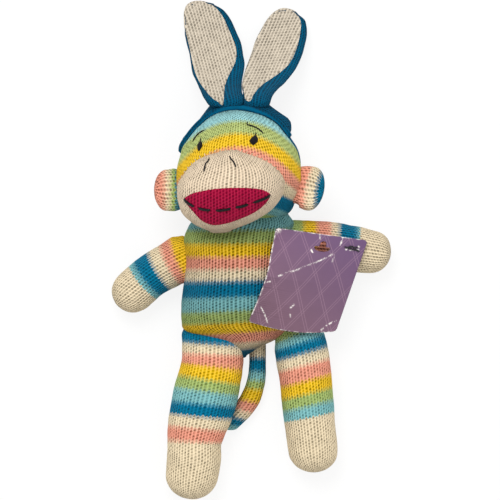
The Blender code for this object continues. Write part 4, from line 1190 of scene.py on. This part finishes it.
@dataclass
class Face:
    """The mouth patch and the embroidery. Every place is on the photograph."""

    mouth: SewnPatch = SewnPatch(
        "mouth_patch_knit", "head", ("mouth_patch",),
        ((183.3, 199), (189, 194.7), (203, 190.6), (220.8, 188.2), (237.3, 187.6), (253.8, 188.2),
         (265.6, 190.6), (271.2, 194.7), (268, 201.2), (261, 208.3), (251.5, 214.2), (239.7, 219.2),
         (225.5, 223.8), (211.4, 225), (202, 221.3), (193.7, 213), (186.6, 204.7)),
        1.5, plain(Yarn.MAGENTA), "magenta_knit")
    smile: tuple[Point, ...] = ((183.8, 199), (188.5, 203), (194.8, 206.7), (202, 209), (212, 210.2),
                                (224, 209.8), (236, 207.3), (247.3, 204.7), (259, 200.4), (266, 197.6),
                                (271, 194.5))
    dashes: tuple[Point, ...] = ((183.8, 194.1), (198.3, 210.3), (215.7, 230.7), (235.5, 248.1),
                                 (253.3, 271.0))
    smile_radius: float = 1.1
    brow_radius: float = 0.55
    nostril_radius: float = 0.6
    satin_radius: float = 0.3
    seam_radius: float = 0.34
    thread_lift: float = 0.35
    eyes: tuple[tuple[Point, ...], ...] = (
        ((199.2, 151), (199.7, 147.5), (200.4, 143.5), (200.8, 138.5)),
        ((253.2, 145), (253.8, 141.5), (254.4, 137.5), (255.8, 133.5)),
    )
    eye_half: tuple[float, ...] = (2.3, 4.0)
    brows: tuple[tuple[Point, ...], ...] = (
        ((193, 141.6), (194.8, 138.4), (197.2, 135.4), (200.6, 132.4), (204.3, 130.4)),
        ((247.4, 122.2), (246.9, 124.5), (250, 125.6), (255, 127.2), (259, 129.6), (263.3, 133.5)),
    )
    nostrils: tuple[tuple[Point, ...], ...] = (
        ((209.6, 158.1), (208.3, 160.8), (206, 163.6), (204.8, 167.6), (203.8, 171.7)),
        ((229.6, 156.4), (231, 159.2), (233.4, 162), (234.9, 164.4), (235.9, 167.4)),
    )
    seam: tuple[Point, ...] = ((178.5, 181), (182, 174.5), (186.5, 168.5), (197, 157.8), (209, 151.8),
                               (220, 149.6), (234, 148.9), (251.5, 152.8), (268, 161), (279.5, 170.5),
                               (284, 181), (283.5, 192))
    seam_stitches: int = 27
    seam_middle: Point = (231.0, 192.0)

    def laid(self, tree: BVHTree, line: Sequence[Point], count: int, lift: float) -> list[Vector]:
        """Lays a smooth line of places on a surface.

        Args:
            tree: the surface.
            line: places on the photograph.
            count: how many places to return.
            lift: how far over the surface.

        Returns:
            The places in metres.
        """
        found = []
        for pixel in smooth_line(line, count):
            seat, normal = SIGHT.seen(tree, *pixel)
            found.append(seat + normal * (lift * MM))
        return found

    def build(self, head: bpy.types.Object, muzzle: bpy.types.Object) -> None:
        """Builds the face.

        Args:
            head: the head, which carries the eyes and the brows.
            muzzle: the muzzle, which carries the mouth and the nostrils.
        """
        black = BLACK_THREAD.build()
        head_tree, muzzle_tree = tree_of(head), tree_of(muzzle)
        patch = self.mouth.build(muzzle)
        self.stitch_smile(tree_of(patch), black)
        for side, line, half in zip(("left", "right"), self.eyes, self.eye_half):
            self.satin_eye(side, head_tree, line, half, black)
        for kind, tree, lines, count, radius in (
                ("brow", head_tree, self.brows, 14, self.brow_radius),
                ("nostril", muzzle_tree, self.nostrils, 12, self.nostril_radius)):
            for side, line in zip(("left", "right"), lines):
                thread_piece(f"{kind}_{side}_thread", "head", [self.laid(tree, line, count, self.thread_lift)],
                             radius, black, (f"{kind}_{side}",))
        self.whip_muzzle(head_tree, muzzle_tree)

    def stitch_smile(self, tree: BVHTree, black: bpy.types.Material) -> None:
        """Sews the running stitch along the mouth, dash by dash.

        Args:
            tree: the mouth patch's surface.
            black: the thread's finish.
        """
        line = smooth_line(self.smile, 400)
        runs = []
        for start, end in self.dashes:
            run = []
            for share in np.linspace(0.0, 1.0, 13):
                across = start + share * (end - start)
                seat, normal = SIGHT.seen(tree, across, float(np.interp(across, line[:, 0], line[:, 1])))
                rise = -0.6 + 1.1 * math.sin(math.pi * share) ** 0.35
                run.append(seat + normal * (rise * MM))
            runs.append(run)
        thread_piece("mouth_running_stitch", "head", runs, self.smile_radius, black,
                     ("mouth_stitching",))

    def satin_eye(self, side: str, tree: BVHTree, line: Sequence[Point], half: float,
                  black: bpy.types.Material) -> None:
        """Sews an eye of close level stitches that swells in its middle and ends in a tail.

        Args:
            side: left or right.
            tree: the head's surface.
            line: the eye's spine on the photograph.
            half: half of its width in pixels.
            black: the thread's finish.
        """
        runs = []
        tail = 0.14
        spine = smooth_line(line, 26)
        for number, pixel in enumerate(spine):
            share = 1.28 * number / (len(spine) - 1)
            reach = half * (max(tail, math.sin(math.pi * share) ** 0.6) if share < 1 else tail)
            run = []
            for step in np.linspace(-1.0, 1.0, 9):
                seat, normal = SIGHT.seen(tree, pixel[0] + step * reach, pixel[1] - 0.25 * step)
                rise = 0.15 + 1.15 * (1 - step * step) ** 0.5 * (reach / half)
                run.append(seat + normal * (rise * MM))
            runs.append(run)
        thread_piece(f"eye_{side}_stitches", "head", runs, self.satin_radius, black,
                     ("eye_" + side,))

    def whip_muzzle(self, head_tree: BVHTree, muzzle_tree: BVHTree) -> None:
        """Sews the muzzle's edge down with small slanting stitches.

        Args:
            head_tree: the head's surface.
            muzzle_tree: the muzzle's surface.
        """
        middle = np.array(self.seam_middle)
        runs = []
        for pixel in smooth_line(self.seam, self.seam_stitches):
            out = (pixel - middle) / np.linalg.norm(pixel - middle)
            slant = np.array((-out[1], out[0])) * 0.5
            inner, outer = pixel - out * 2.2 - slant, pixel - out * 0.1 + slant
            run = []
            for share in np.linspace(0.0, 1.0, 7):
                spot = inner + (outer - inner) * share
                seats = [SIGHT.seen(tree, *spot) for tree in (head_tree, muzzle_tree)]
                seat, normal = max(seats, key=lambda found: found[0].z)
                run.append(seat + normal * ((0.1 + 0.5 * math.sin(math.pi * share)) * MM))
            runs.append(run)
        thread_piece("muzzle_seam", "head", runs, self.seam_radius, CREAM_THREAD.build())


EAR_BACK = {"start_round": 2.0, "bands": plain(Yarn.CAP), "slot": "blue_knit", "rib": 0.24, "fill": 0.15,
            "lumps": 0.35, "lump_size": 12.0, "cup": 7.0, "fullness": 2.3, "square": True}
EAR_LINING = {"thick": 1.3, "bands": plain(Yarn.SHADED_LINING), "slot": "cream_knit", "points": 180,
              "hole_shade": 0.42, "rib": 0.16, "wraps": True}
LEFT_EAR_HINGE: Hinge = ("head", (-0.025, 0.113, 0.037), (-0.025, 0.127, 0.037))
RIGHT_EAR_HINGE: Hinge = ("head", (0.005, 0.114, 0.037), (0.005, 0.128, 0.037))


@dataclass
class BunnyCap:
    """The hood over the back of the head, its rolled rim, and its two ears."""

    middle: tuple[float, float, float] = (-9.0, 70.0, 44.0)
    half: tuple[float, float, float] = (43.0, 50.5, 44.5)
    sides: tuple[tuple[float, float, float], ...] = (
        (95, 226, 250), (98, 221, 258), (102, 214, 266), (106, 209.5, 271), (110, 206, 276),
        (114, 203, 281.5), (118, 200, 288), (122, 198, 291), (126, 195, 291.5), (130, 189.5, 291.5),
        (134, 184.5, 290), (138, 181, 288), (142, 179.5, 286), (147, 180, 285), (152, 182, 285),
        (165, 183, 288), (180, 186, 290), (199, 190, 288))
    rim_y: float = 109.4
    rim_height: float = 57.0
    rim_slope: float = 26.0
    rim_turn: float = 11.0
    nape_y: float = 42.0
    rim_radius: float = 2.5
    rim_seat: float = 1.2
    rim_share: float = 0.11
    rim_at: float = 0.002
    far_share: float = 0.995
    lump: float = 0.8
    lump_size: float = 15.0
    thick: float = 1.6
    wales: int = 32
    courses: int = 113
    rows: int = 96
    columns: int = 174
    # How far painted shade darkens each stitch's hole.
    hole_shade: float = 0.5
    rib: float = 0.3
    ears: tuple[KnitTube, ...] = (
        KnitTube(
            "bunny_ear_left_knit", "bunny_ear_left", ("bunny_ear_left_back",),
            (Station(225.3, 104.6, 34, 4.5, 54), Station(225, 102, 36.5, 6.5, 53),
             Station(223.6, 98, 39.5, 7, 50.5),
             Station(221.2, 91, 41.5, 7, 41), Station(219.5, 83, 45, 6.5, 28), Station(218, 74, 50.5, 6, 20),
             Station(217.8, 64, 53.6, 5.6, 13.5), Station(216.2, 54, 53.8, 5.4, 9.5),
             Station(213.6, 43, 54.4, 5.2, 6), Station(211, 34, 52.4, 5, 3.5), Station(209.5, 25, 48.3, 5, 2),
             Station(206.9, 16, 42.6, 5, 1.2), Station(204.6, 8.5, 33, 5, 0.8), Station(203, 5, 23, 4.6, 0.7)),
            end_round=2.2, wales=17, hinge=LEFT_EAR_HINGE, **EAR_BACK),
        KnitTube(
            "bunny_ear_right_knit", "bunny_ear_right", ("bunny_ear_right_back",),
            (Station(256.5, 105, 26, 4.5, 54), Station(257, 102.5, 26.5, 6.5, 53.5),
             Station(257.3, 99.5, 27.5, 7, 51.5),
             Station(258.3, 94, 31, 7, 46), Station(260.4, 89, 35.6, 7, 38.5), Station(264, 83, 41.6, 6.5, 28),
             Station(270, 72, 47.6, 6, 18.5), Station(274.8, 61, 50.3, 5.6, 12), Station(280, 46, 50, 5.2, 6.5),
             Station(283.4, 33, 47.4, 5, 3), Station(285, 26, 43, 5, 1.8), Station(286.4, 19, 35.4, 5, 1.2),
             Station(286.2, 14, 23, 4.6, 1)),
            end_round=3.0, wales=16, hinge=RIGHT_EAR_HINGE, **EAR_BACK),
    )
    linings: tuple[SewnPatch, ...] = (
        SewnPatch(
            "bunny_ear_left_lining_knit", "bunny_ear_left", ("bunny_ear_left_lining",),
            ((222.8, 105.8), (219.6, 104.4), (213.4, 100), (205.4, 91), (199.1, 82), (195, 73.2),
             (192.2, 62.5), (189.8, 50), (187, 38.4), (184.6, 29), (183.9, 20), (184.3, 10.5), (187.4, 4.2),
             (193.2, 1.2), (201.8, 0.9), (208.9, 2.7), (214.8, 6), (219.2, 10.6), (224.1, 18.2),
             (228.8, 28.6), (233, 38.4), (236.2, 47.6), (236.7, 55), (235.7, 62), (232.8, 68.5),
             (228.6, 76.8), (225.8, 84), (224.3, 92.9), (223.9, 101)),
            turn=-16.0, hinge=LEFT_EAR_HINGE, **EAR_LINING),
        SewnPatch(
            "bunny_ear_right_lining_knit", "bunny_ear_right", ("bunny_ear_right_lining",),
            ((248, 103), (245.3, 101), (243.6, 95), (242, 87.5), (243, 78.6), (245.4, 69.6), (248.2, 62),
             (251.8, 51.8), (255.4, 40.8), (260.7, 30.2), (267.4, 19), (274.6, 11.6), (281.6, 8.2),
             (289.3, 8.7), (295.6, 11.4), (299.3, 16), (301.3, 22.3), (301, 30.6), (299.2, 40.2),
             (296.4, 50), (292.7, 58.9), (287.4, 66.2), (280.4, 72.6), (271.6, 78.8), (263, 84.6),
             (257.2, 90.2), (252.9, 96), (250.3, 101.5)),
            turn=24.0, hinge=RIGHT_EAR_HINGE, **EAR_LINING),
    )

    def build(self, head: bpy.types.Object) -> None:
        """Builds the hood, its rim and both ears.

        Args:
            head: the head, which the hood is drawn over.
        """
        head_tree = tree_of(head)
        self.hood(head_tree)
        self.rim(head_tree)
        for ear, lining in zip(self.ears, self.linings):
            back = ear.build()
            lining.build(back)

    def surface(self, share: np.ndarray, turn: np.ndarray) -> np.ndarray:
        """Places on the hood in millimetres, from its rim at 0 to its far pole at 1.

        Args:
            share: how far from the rim to the pole.
            turn: the angle round the pole.

        Returns:
            The places, one row each.
        """
        half = np.array(self.half)
        slope, aside = math.radians(self.rim_slope), math.radians(self.rim_turn)
        normal = np.array((-math.sin(slope) * math.sin(aside), -math.sin(slope) * math.cos(aside),
                           math.cos(slope)))
        spot = np.array((self.middle[0], self.rim_y, self.rim_height)) - np.array(self.middle)
        stretched = normal * half
        size = np.linalg.norm(stretched)
        height = float(normal @ spot) / size
        pole = stretched / size
        side = np.cross(pole, (1.0, 0.0, 0.0))
        side /= np.linalg.norm(side)
        other = np.cross(pole, side)
        start = math.acos(max(-1.0, min(1.0, height)))
        polar = start + (math.pi - start) * share
        unit = (np.cos(polar)[:, None] * pole + (np.sin(polar) * np.cos(turn))[:, None] * side
                + (np.sin(polar) * np.sin(turn))[:, None] * other)
        places = unit * half + np.array(self.middle)
        rows = np.array(self.sides)
        scale = SIGHT.pixel * (SIGHT.height - self.middle[2]) / (SIGHT.height - SIGHT.level)
        down = SIGHT.image_side / 2 - places[:, 1] / scale
        left, right = (np.interp(down, rows[:, 0], rows[:, k]) - SIGHT.image_side / 2 for k in (1, 2))
        level = np.sqrt(np.maximum(1 - ((places[:, 1] - self.middle[1]) / half[1]) ** 2, 1e-4))
        part = (places[:, 0] - self.middle[0]) / (half[0] * level)
        places[:, 0] = ((left + right) / 2 + part * (right - left) / 2) * scale
        return places

    def seated(self, places: np.ndarray, share: np.ndarray, head: BVHTree) -> np.ndarray:
        """Draws the hood's rim in to the head.

        Args:
            places: places on the hood in millimetres.
            share: how far each is from the rim to the pole.
            head: the head's surface.

        Returns:
            The places, one row each.
        """
        pull = np.clip(1 - share / self.rim_share, 0.0, 1.0) ** 1.6
        for number in np.nonzero(pull)[0]:
            seat, normal, _, _ = head.find_nearest(Vector(places[number]) * MM)
            out = normal if normal.dot(Vector(places[number]) * MM - seat) > 0 else -normal
            goal = np.array(seat + out * (self.rim_seat * MM)) / MM
            places[number] += (goal - places[number]) * pull[number]
        return places

    def hood(self, head: BVHTree) -> None:
        """Builds the hood as one thick knitted shell, cut straight at the nape.

        Args:
            head: the head's surface.
        """
        share, turn = (grid.ravel() for grid in np.meshgrid(
            np.linspace(0.0, self.far_share, self.rows + 1),
            np.arange(self.columns) / self.columns * math.tau, indexing="ij"))
        places = self.surface(share, turn)
        out = places - np.array(self.middle)
        out /= np.linalg.norm(out, axis=1)[:, None]
        swell = np.array([noise.noise(Vector(p) / self.lump_size) for p in places])
        places += out * (swell * self.lump)[:, None]
        places[:, 2] = np.maximum(places[:, 2], FLOOR_GAP)
        places = self.seated(places, share, head)
        quads, corners = ring_faces(self.rows + 1, self.columns)
        mesh = bpy.data.meshes.new("bunny_cap_knit")
        mesh.from_pydata((places * MM).tolist(), [], quads.tolist())
        shares = corners / (self.columns, self.rows)
        write_map(mesh, "Knit", shares[:, ::-1] * (self.wales, self.courses))
        write_map(mesh, "OFBake", in_square(shares))
        work = bmesh.new()
        work.from_mesh(mesh)
        bmesh.ops.recalc_face_normals(work, faces=work.faces)
        bmesh.ops.bisect_plane(work, geom=[*work.verts, *work.edges, *work.faces],
                               plane_co=(0.0, self.nape_y * MM, 0.0), plane_no=(0.0, 1.0, 0.0),
                               clear_inner=True)
        work.to_mesh(mesh)
        work.free()
        finish = KnitFinish("bunny_cap_knit", plain(Yarn.CAP), self.hole_shade, self.rib)
        hang("bunny_cap_knit", mesh, finish.build(), "head", ("bunny_cap",),
             shell=(self.thick, -1.0))

    def rim(self, head: BVHTree) -> None:
        """Builds the rolled edge that frames the face, and its map round and along the roll.

        Args:
            head: the head's surface.
        """
        turn = np.arange(self.columns) / self.columns * math.tau
        share = np.full(self.columns, self.rim_at)
        line = self.seated(self.surface(share, turn), share, head)
        line[:, 2] = np.maximum(line[:, 2], self.rim_radius + 0.3)
        keep = line[:, 1] > self.nape_y
        line = np.roll(line, -int(np.argmax(~keep)), axis=0)[np.roll(keep, -int(np.argmax(~keep)))]
        run = [Vector(place) * MM for place in line]
        finish = KnitFinish("bunny_cap_rim", plain(Yarn.CAP), self.hole_shade, self.rib)
        rim = thread_piece("bunny_cap_rim", "head", [run], self.rim_radius, finish.build())
        knit = rim.data.uv_layers.get("Knit") or rim.data.uv_layers.new(name="Knit")
        lengths = np.concatenate([[0.0], np.cumsum([(b - a).length for a, b in zip(run, run[1:])])])
        spots = np.array([tuple(p) for p in run])
        for loop in rim.data.loops:
            place = rim.data.vertices[loop.vertex_index].co
            nearest = int(np.argmin(((spots - np.array(place)) ** 2).sum(axis=1)))
            out = place - run[nearest]
            knit.uv[loop.index].vector = (math.atan2(out.z, out.x) / math.tau * 3 + 1.5,
                                          lengths[nearest] / MM / COURSE)


@dataclass
class SwingTag:
    """The card with its hang hole, and the nylon pin that holds it to the shoulder; the pin's hole in the card
    is not cut.
    """

    right_edge: tuple[Point, Point] = ((367.6, 240.4), (335.8, 331.5))
    right_heights: tuple[float, float] = (37.6, 33.0)
    left_edge: tuple[Point, ...] = ((276, 227.8), (271.5, 250), (266.6, 275), (259.8, 294.5),
                                    (248.4, 321.5))
    left_heights: tuple[float, ...] = (59.5, 62.0, 63.5, 60.0, 53.5)
    bulge: float = 2.5
    bottom_bow: float = 5.2
    width: float = 71.0
    height: float = 76.0
    thick: float = 0.6
    corner: float = 3.0
    hole_right: float = 0.545
    hole_drop: float = 9.6
    hole_reach: float = 9.0
    hole: tuple[Point, ...] = (
        (-6.4, -1.4), (-5.2, -2.9), (-2.6, -3.8), (2.6, -3.8), (5.2, -2.9), (6.4, -1.4), (5.6, -0.3),
        (2.9, -0.1), (2.3, 2.6), (1.2, 3.9), (-1.2, 3.9), (-2.3, 2.6), (-2.9, -0.1), (-5.6, -0.3))
    pin_pixel: Point = (352, 248)
    columns: int = 142
    rows: int = 152
    # Lines on the photograph where the card is rubbed pale. The last four are painted highlights: glints of the
    # pin, painted pale on the card under it.
    creases_and_glints: tuple[tuple[Point, ...], ...] = (
        ((278.5, 276), (287, 272.6), (296, 270), (305, 266.4), (318, 261.4), (328, 256.6), (336, 252.6)),
        ((319.6, 232.4), (320, 238.4)), ((342.6, 236.5), (341.6, 241), (340, 247)),
        ((335, 253), (332, 262)), ((261, 307), (265, 315), (267.8, 323), (270, 328)),
        ((319, 332), (327, 325.4), (336, 320.6)), ((290.4, 307.6), (293.8, 304.4)),
        ((290, 314), (290.2, 317)), ((266.8, 281.4), (270, 281)), ((311, 250), (312.4, 252.4)),
        ((345.8, 249.6), (347, 249)), ((349.8, 250.2), (350.8, 250.2)),
        ((352.6, 250.8), (354.4, 251.4)), ((357, 249.6), (359.3, 249.2), (359.8, 247.6), (358.6, 246.4)))
    crease_and_glint_strength: tuple[float, ...] = (0.85, 0.9, 0.85, 0.5, 0.9, 1.0, 1.2, 0.6, 1.3, 1.3, 1.2, 1.0, 0.9,
                                      1.2)
    crease_width: float = 0.42
    crease_level: float = 48.0
    strands: tuple[tuple[Point, ...], ...] = (
        ((344, 246.6), (347.5, 247.5), (350.2, 246.3), (352.4, 246.7), (354.6, 247.6), (357.4, 247)),
        ((346.6, 247.6), (349.3, 248.3), (352.4, 249.3), (355.1, 249.8), (359, 251.3)))
    bar_radius: float = 0.62
    cord_radius: float = 0.6

    @cached_property
    def left_line(self) -> np.ndarray:
        """The card's left edge on the photograph, in hundredths of its height."""
        return smooth_line(self.left_edge, 101)

    @property
    def hole_middle(self) -> Point:
        """The hang hole's middle on the card."""
        return self.width * self.hole_right, self.height - self.hole_drop

    def point(self, right: float, down: float) -> Vector:
        """Finds a place on the bent card's middle surface.

        Args:
            right: the share of its width from its left edge.
            down: the share of its height from its top edge.

        Returns:
            The place in metres.
        """
        left_px = self.left_line[int(round(down * 100))]
        left_z = float(np.interp(down, np.linspace(0, 1, 5), self.left_heights))
        top_right, low_right = np.array(self.right_edge[0]), np.array(self.right_edge[1])
        right_px = top_right + (low_right - top_right) * down
        right_z = self.right_heights[0] + (self.right_heights[1] - self.right_heights[0]) * down
        pixel = left_px + (right_px - left_px) * right
        height = left_z + (right_z - left_z) * right
        height += (self.bulge * math.sin(math.pi * right)
                   * math.sin(math.pi * min(1.0, 0.25 + 0.75 * down)))
        pixel = pixel + np.array((0.0, self.bottom_bow * math.sin(math.pi * right) * down ** 2))
        return SIGHT.place(float(pixel[0]), float(pixel[1]), height)

    def rounded(self, x: float, y: float) -> Point:
        """Draws a place in to the card's nearest rounded corner, if it lies outside it.

        Args:
            x: millimetres from the card's left edge.
            y: millimetres from its lower edge.

        Returns:
            The place in millimetres.
        """
        corner_x, corner_y = self.width * (x > self.width / 2), self.height * (y > self.height / 2)
        near_x = corner_x + math.copysign(self.corner, self.width / 2 - corner_x)
        near_y = corner_y + math.copysign(self.corner, self.height / 2 - corner_y)
        off = Vector((x - near_x, y - near_y))
        outside = off.x * (corner_x - near_x) > 0 and off.y * (corner_y - near_y) > 0
        if outside and off.length > self.corner:
            off = off.normalized() * self.corner
            return near_x + off.x, near_y + off.y
        return x, y

    def card(self) -> bpy.types.Object:
        """Builds the bent card with its hang hole, its worn creases and its painted glints.

        Returns:
            The card.
        """
        work = bmesh.new()
        grid, print_places = {}, {}
        for row in range(self.rows + 1):
            for column in range(self.columns + 1):
                x, y = self.rounded(column / self.columns * self.width,
                                    (1 - row / self.rows) * self.height)
                vertex = work.verts.new(self.point(x / self.width, 1 - y / self.height))
                grid[row, column] = vertex
                print_places[vertex] = (x, y)
        layer = work.loops.layers.uv.new("Print")
        for row in range(self.rows):
            for column in range(self.columns):
                face = work.faces.new((grid[row, column], grid[row + 1, column], grid[row + 1, column + 1],
                                       grid[row, column + 1]))
                for loop in face.loops:
                    loop[layer].uv = print_places[loop.vert]
        self.pierce(work, layer)
        mesh = bpy.data.meshes.new("tag_card_print")
        work.to_mesh(mesh)
        work.free()
        self.mark_wear_and_glints(mesh)
        flat = np.zeros(len(mesh.loops) * 2, np.float32)
        mesh.uv_layers["Print"].uv.foreach_get("vector", flat)
        write_map(mesh, "OFBake", in_square(flat.reshape(-1, 2) / (self.width, self.height)))
        return hang("tag_card_print", mesh, CardFinish().build(), "swing_tag", ("tag_card",),
                    shell=(self.thick, 0.0))

    def pierce(self, work: bmesh.types.BMesh, layer: Any) -> None:
        """Cuts the hang hole, a wide slot with a bump, by drawing the grid's points to its outline.

        Args:
            work: the card.
            layer: the print's map.
        """
        middle = np.array(self.hole_middle)
        edge = smooth_line(self.hole, 160, closed=True) + middle

        def inside(x: float, y: float) -> bool:
            """Whether a place is inside the outline."""
            crossings = [(ay > y) != (by > y) and x < (bx - ax) * (y - ay) / (by - ay) + ax
                         for (ax, ay), (bx, by) in zip(edge, np.roll(edge, -1, axis=0))]
            return sum(crossings) % 2 == 1

        gone = []
        for face in work.faces:
            spot = np.mean([loop[layer].uv for loop in face.loops], axis=0)
            if np.abs(spot - middle).max() < self.hole_reach and inside(*spot):
                gone.append(face)
        bmesh.ops.delete(work, geom=gone, context="FACES")
        for vertex in work.verts:
            if not vertex.is_boundary or not vertex.link_loops:
                continue
            spot = np.array(vertex.link_loops[0][layer].uv)
            if np.abs(spot - middle).max() < self.hole_reach:
                target = edge[np.argmin(((edge - spot) ** 2).sum(axis=1))]
                vertex.co = self.point(target[0] / self.width, 1 - target[1] / self.height)
                for loop in vertex.link_loops:
                    loop[layer].uv = target
                loop[layer].uv = target

    def mark_wear_and_glints(self, mesh: bpy.types.Mesh) -> None:
        """Writes how worn the card is at each point, along its creases and its edges, and where the pin's
        glints are painted pale on it.

        Args:
            mesh: the card.
        """
        lines = []
        for wear_and_glint in self.creases_and_glints:
            spots = smooth_line(wear_and_glint, 40) if len(wear_and_glint) > 2 else np.linspace(wear_and_glint[0], wear_and_glint[1], 20)
            lines.append(np.array([tuple(SIGHT.place(px, py, self.crease_level)) for px, py in spots])[:, :2])
        wear_and_glint = mesh.attributes.new("wear_and_glint", "FLOAT", "POINT")
        source = mesh.uv_layers["Print"]
        flat = {}
        for loop in mesh.loops:
            flat[loop.vertex_index] = source.uv[loop.index].vector
        for vertex in mesh.vertices:
            spot = np.array(vertex.co[:2])
            x, y = flat.get(vertex.index, (10.0, 10.0))
            corner = math.hypot(x, self.height - y)
            wear = [math.exp(-(x / 0.5) ** 2) * 1.5, math.exp(-(corner / 4.0) ** 4) * 1.6,
                    math.exp(-(min(y, self.height - y) / 0.4) ** 2) * 0.7]
            for line, strength in zip(lines, self.crease_and_glint_strength):
                near = float(np.sqrt(((line - spot) ** 2).sum(axis=1)).min()) / MM
                wear.append(math.exp(-(near / self.crease_width) ** 2) * 1.7 * strength)
            wear_and_glint.data[vertex.index].value = max(wear)

    def build(self) -> None:
        """Builds the card and the pin."""
        card = self.card()
        nylon = NylonFinish().build()
        tree = tree_of(card)
        seat, normal = SIGHT.seen(tree, *self.pin_pixel)
        bars = []
        for strand in self.strands:
            bar = []
            for px, py in smooth_line(strand, 18):
                spot, _ = SIGHT.seen(tree, px, py)
                bar.append(spot + normal * ((self.thick / 2 + self.bar_radius + 0.1) * MM))
            bars.append(bar)
        low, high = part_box("tag_fastener")
        top = bars[0][len(bars[0]) // 2]
        anchor = Vector((low.x + 0.0005, 0.005, high.z - 0.003))
        cord = []
        for share in np.linspace(0.0, 1.0, 19):
            spot = seat.lerp(anchor, share)
            spot.y += 0.0065 * math.sin(math.pi * share)
            spot.z -= (1.6 + 1.5 * math.sin(math.pi * share)) * MM
            cord.append(spot)
        thread_piece("tag_fastener_bar", "torso", bars, self.bar_radius, nylon,
                     ("tag_fastener",))
        thread_piece("tag_fastener_cord", "torso", [[top, *cord]], self.cord_radius, nylon)


@dataclass(frozen=True)
class Studio:
    """A white sheet under the doll, soft light from above, and the camera."""

    floor_side: float = 9000.0
    paper: str = "#fbfbfb"
    glow: str = "#ffffff"
    glow_share: float = 0.85
    world_level: float = 0.62
    lamps: tuple[tuple[str, float, float, Place], ...] = (
        ("key", 25.0, 1.0, (-0.35, 0.95, 1.8)), ("fill", 8.0, 2.2, (0.9, -0.5, 1.8)))

    def build(self) -> None:
        """Builds the floor, the lamps, the world and the camera."""
        self.floor()
        self.light()
        bpy.context.scene.view_settings.view_transform = "Standard"
        camera = bpy.data.cameras.new("camera")
        camera.sensor_width = SIGHT.sensor
        camera.lens = SIGHT.lens()
        camera.clip_end = 20.0
        eye = bpy.data.objects.new("camera", camera)
        eye.location = SIGHT.eye()
        bpy.context.scene.collection.objects.link(eye)
        bpy.context.scene.camera = eye
        LOG.info("floor, %d lamps and camera", len(self.lamps))

    def floor(self) -> None:
        """Lays matt white paper, which the camera and mirrors see near white, with the doll's shadow."""
        mesh = bpy.data.meshes.new("floor")
        half = self.floor_side / 2 * MM
        mesh.from_pydata([(-half, -half, 0.0), (half, -half, 0.0), (half, half, 0.0), (-half, half, 0.0)],
                         [], [(0, 1, 2, 3)])
        paper, tree, shader = new_material("white_paper")
        shader.inputs["Base Color"].default_value = linear(self.paper)
        shader.inputs["Roughness"].default_value = 1.0
        shader.inputs["Specular IOR Level"].default_value = 0.0
        path = add_node(tree, "ShaderNodeLightPath")
        glow = add_node(tree, "ShaderNodeEmission", {"Color": linear(self.glow), "Strength": 1.0})
        known = work_out(tree, {"camera": path.outputs["Is Camera Ray"],
                                "glossy": path.outputs["Is Glossy Ray"],
                                "through": path.outputs["Is Transmission Ray"]}, (
            ("mirrored", "MAXIMUM", "glossy", "through"),
            ("seen", "MAXIMUM", "camera", "mirrored"),
            ("share", "MULTIPLY", "seen", self.glow_share),
        ))
        mixed = add_node(tree, "ShaderNodeMixShader", {0: known["share"], 1: shader.outputs[0],
                                                       2: glow.outputs[0]})
        tree.links.new(mixed.outputs[0], tree.nodes["Material Output"].inputs["Surface"])
        mesh.materials.append(paper)
        floor = bpy.data.objects.new("floor", mesh)
        bpy.context.scene.collection.objects.link(floor)

    def light(self) -> None:
        """Hangs the lamps, which face the doll, and lights the world."""
        for name, power, size, place in self.lamps:
            lamp = bpy.data.lights.new(name, "AREA")
            lamp.energy = power
            lamp.size = size
            made = bpy.data.objects.new(name, lamp)
            made.location = place
            made.rotation_mode = "QUATERNION"
            made.rotation_quaternion = (-Vector(place)).to_track_quat("-Z", "Y")
            bpy.context.scene.collection.objects.link(made)
        world = bpy.data.worlds.new("studio")
        world.use_nodes = True
        back = world.node_tree.nodes["Background"]
        back.inputs["Color"].default_value = linear(self.glow)
        back.inputs["Strength"].default_value = self.world_level
        bpy.context.scene.world = world


def main() -> None:
    """Builds the doll piece by piece."""
    logging.basicConfig(level=logging.INFO, format="%(name)s: %(message)s")
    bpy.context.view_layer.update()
    Studio().build()
    Trunk().build()
    Limbs().build()
    head, muzzle = Head().build()
    Face().build(head, muzzle)
    BunnyCap().build(head)
    SwingTag().build()
    LOG.info("done")


if __name__ == "__main__":
    main()
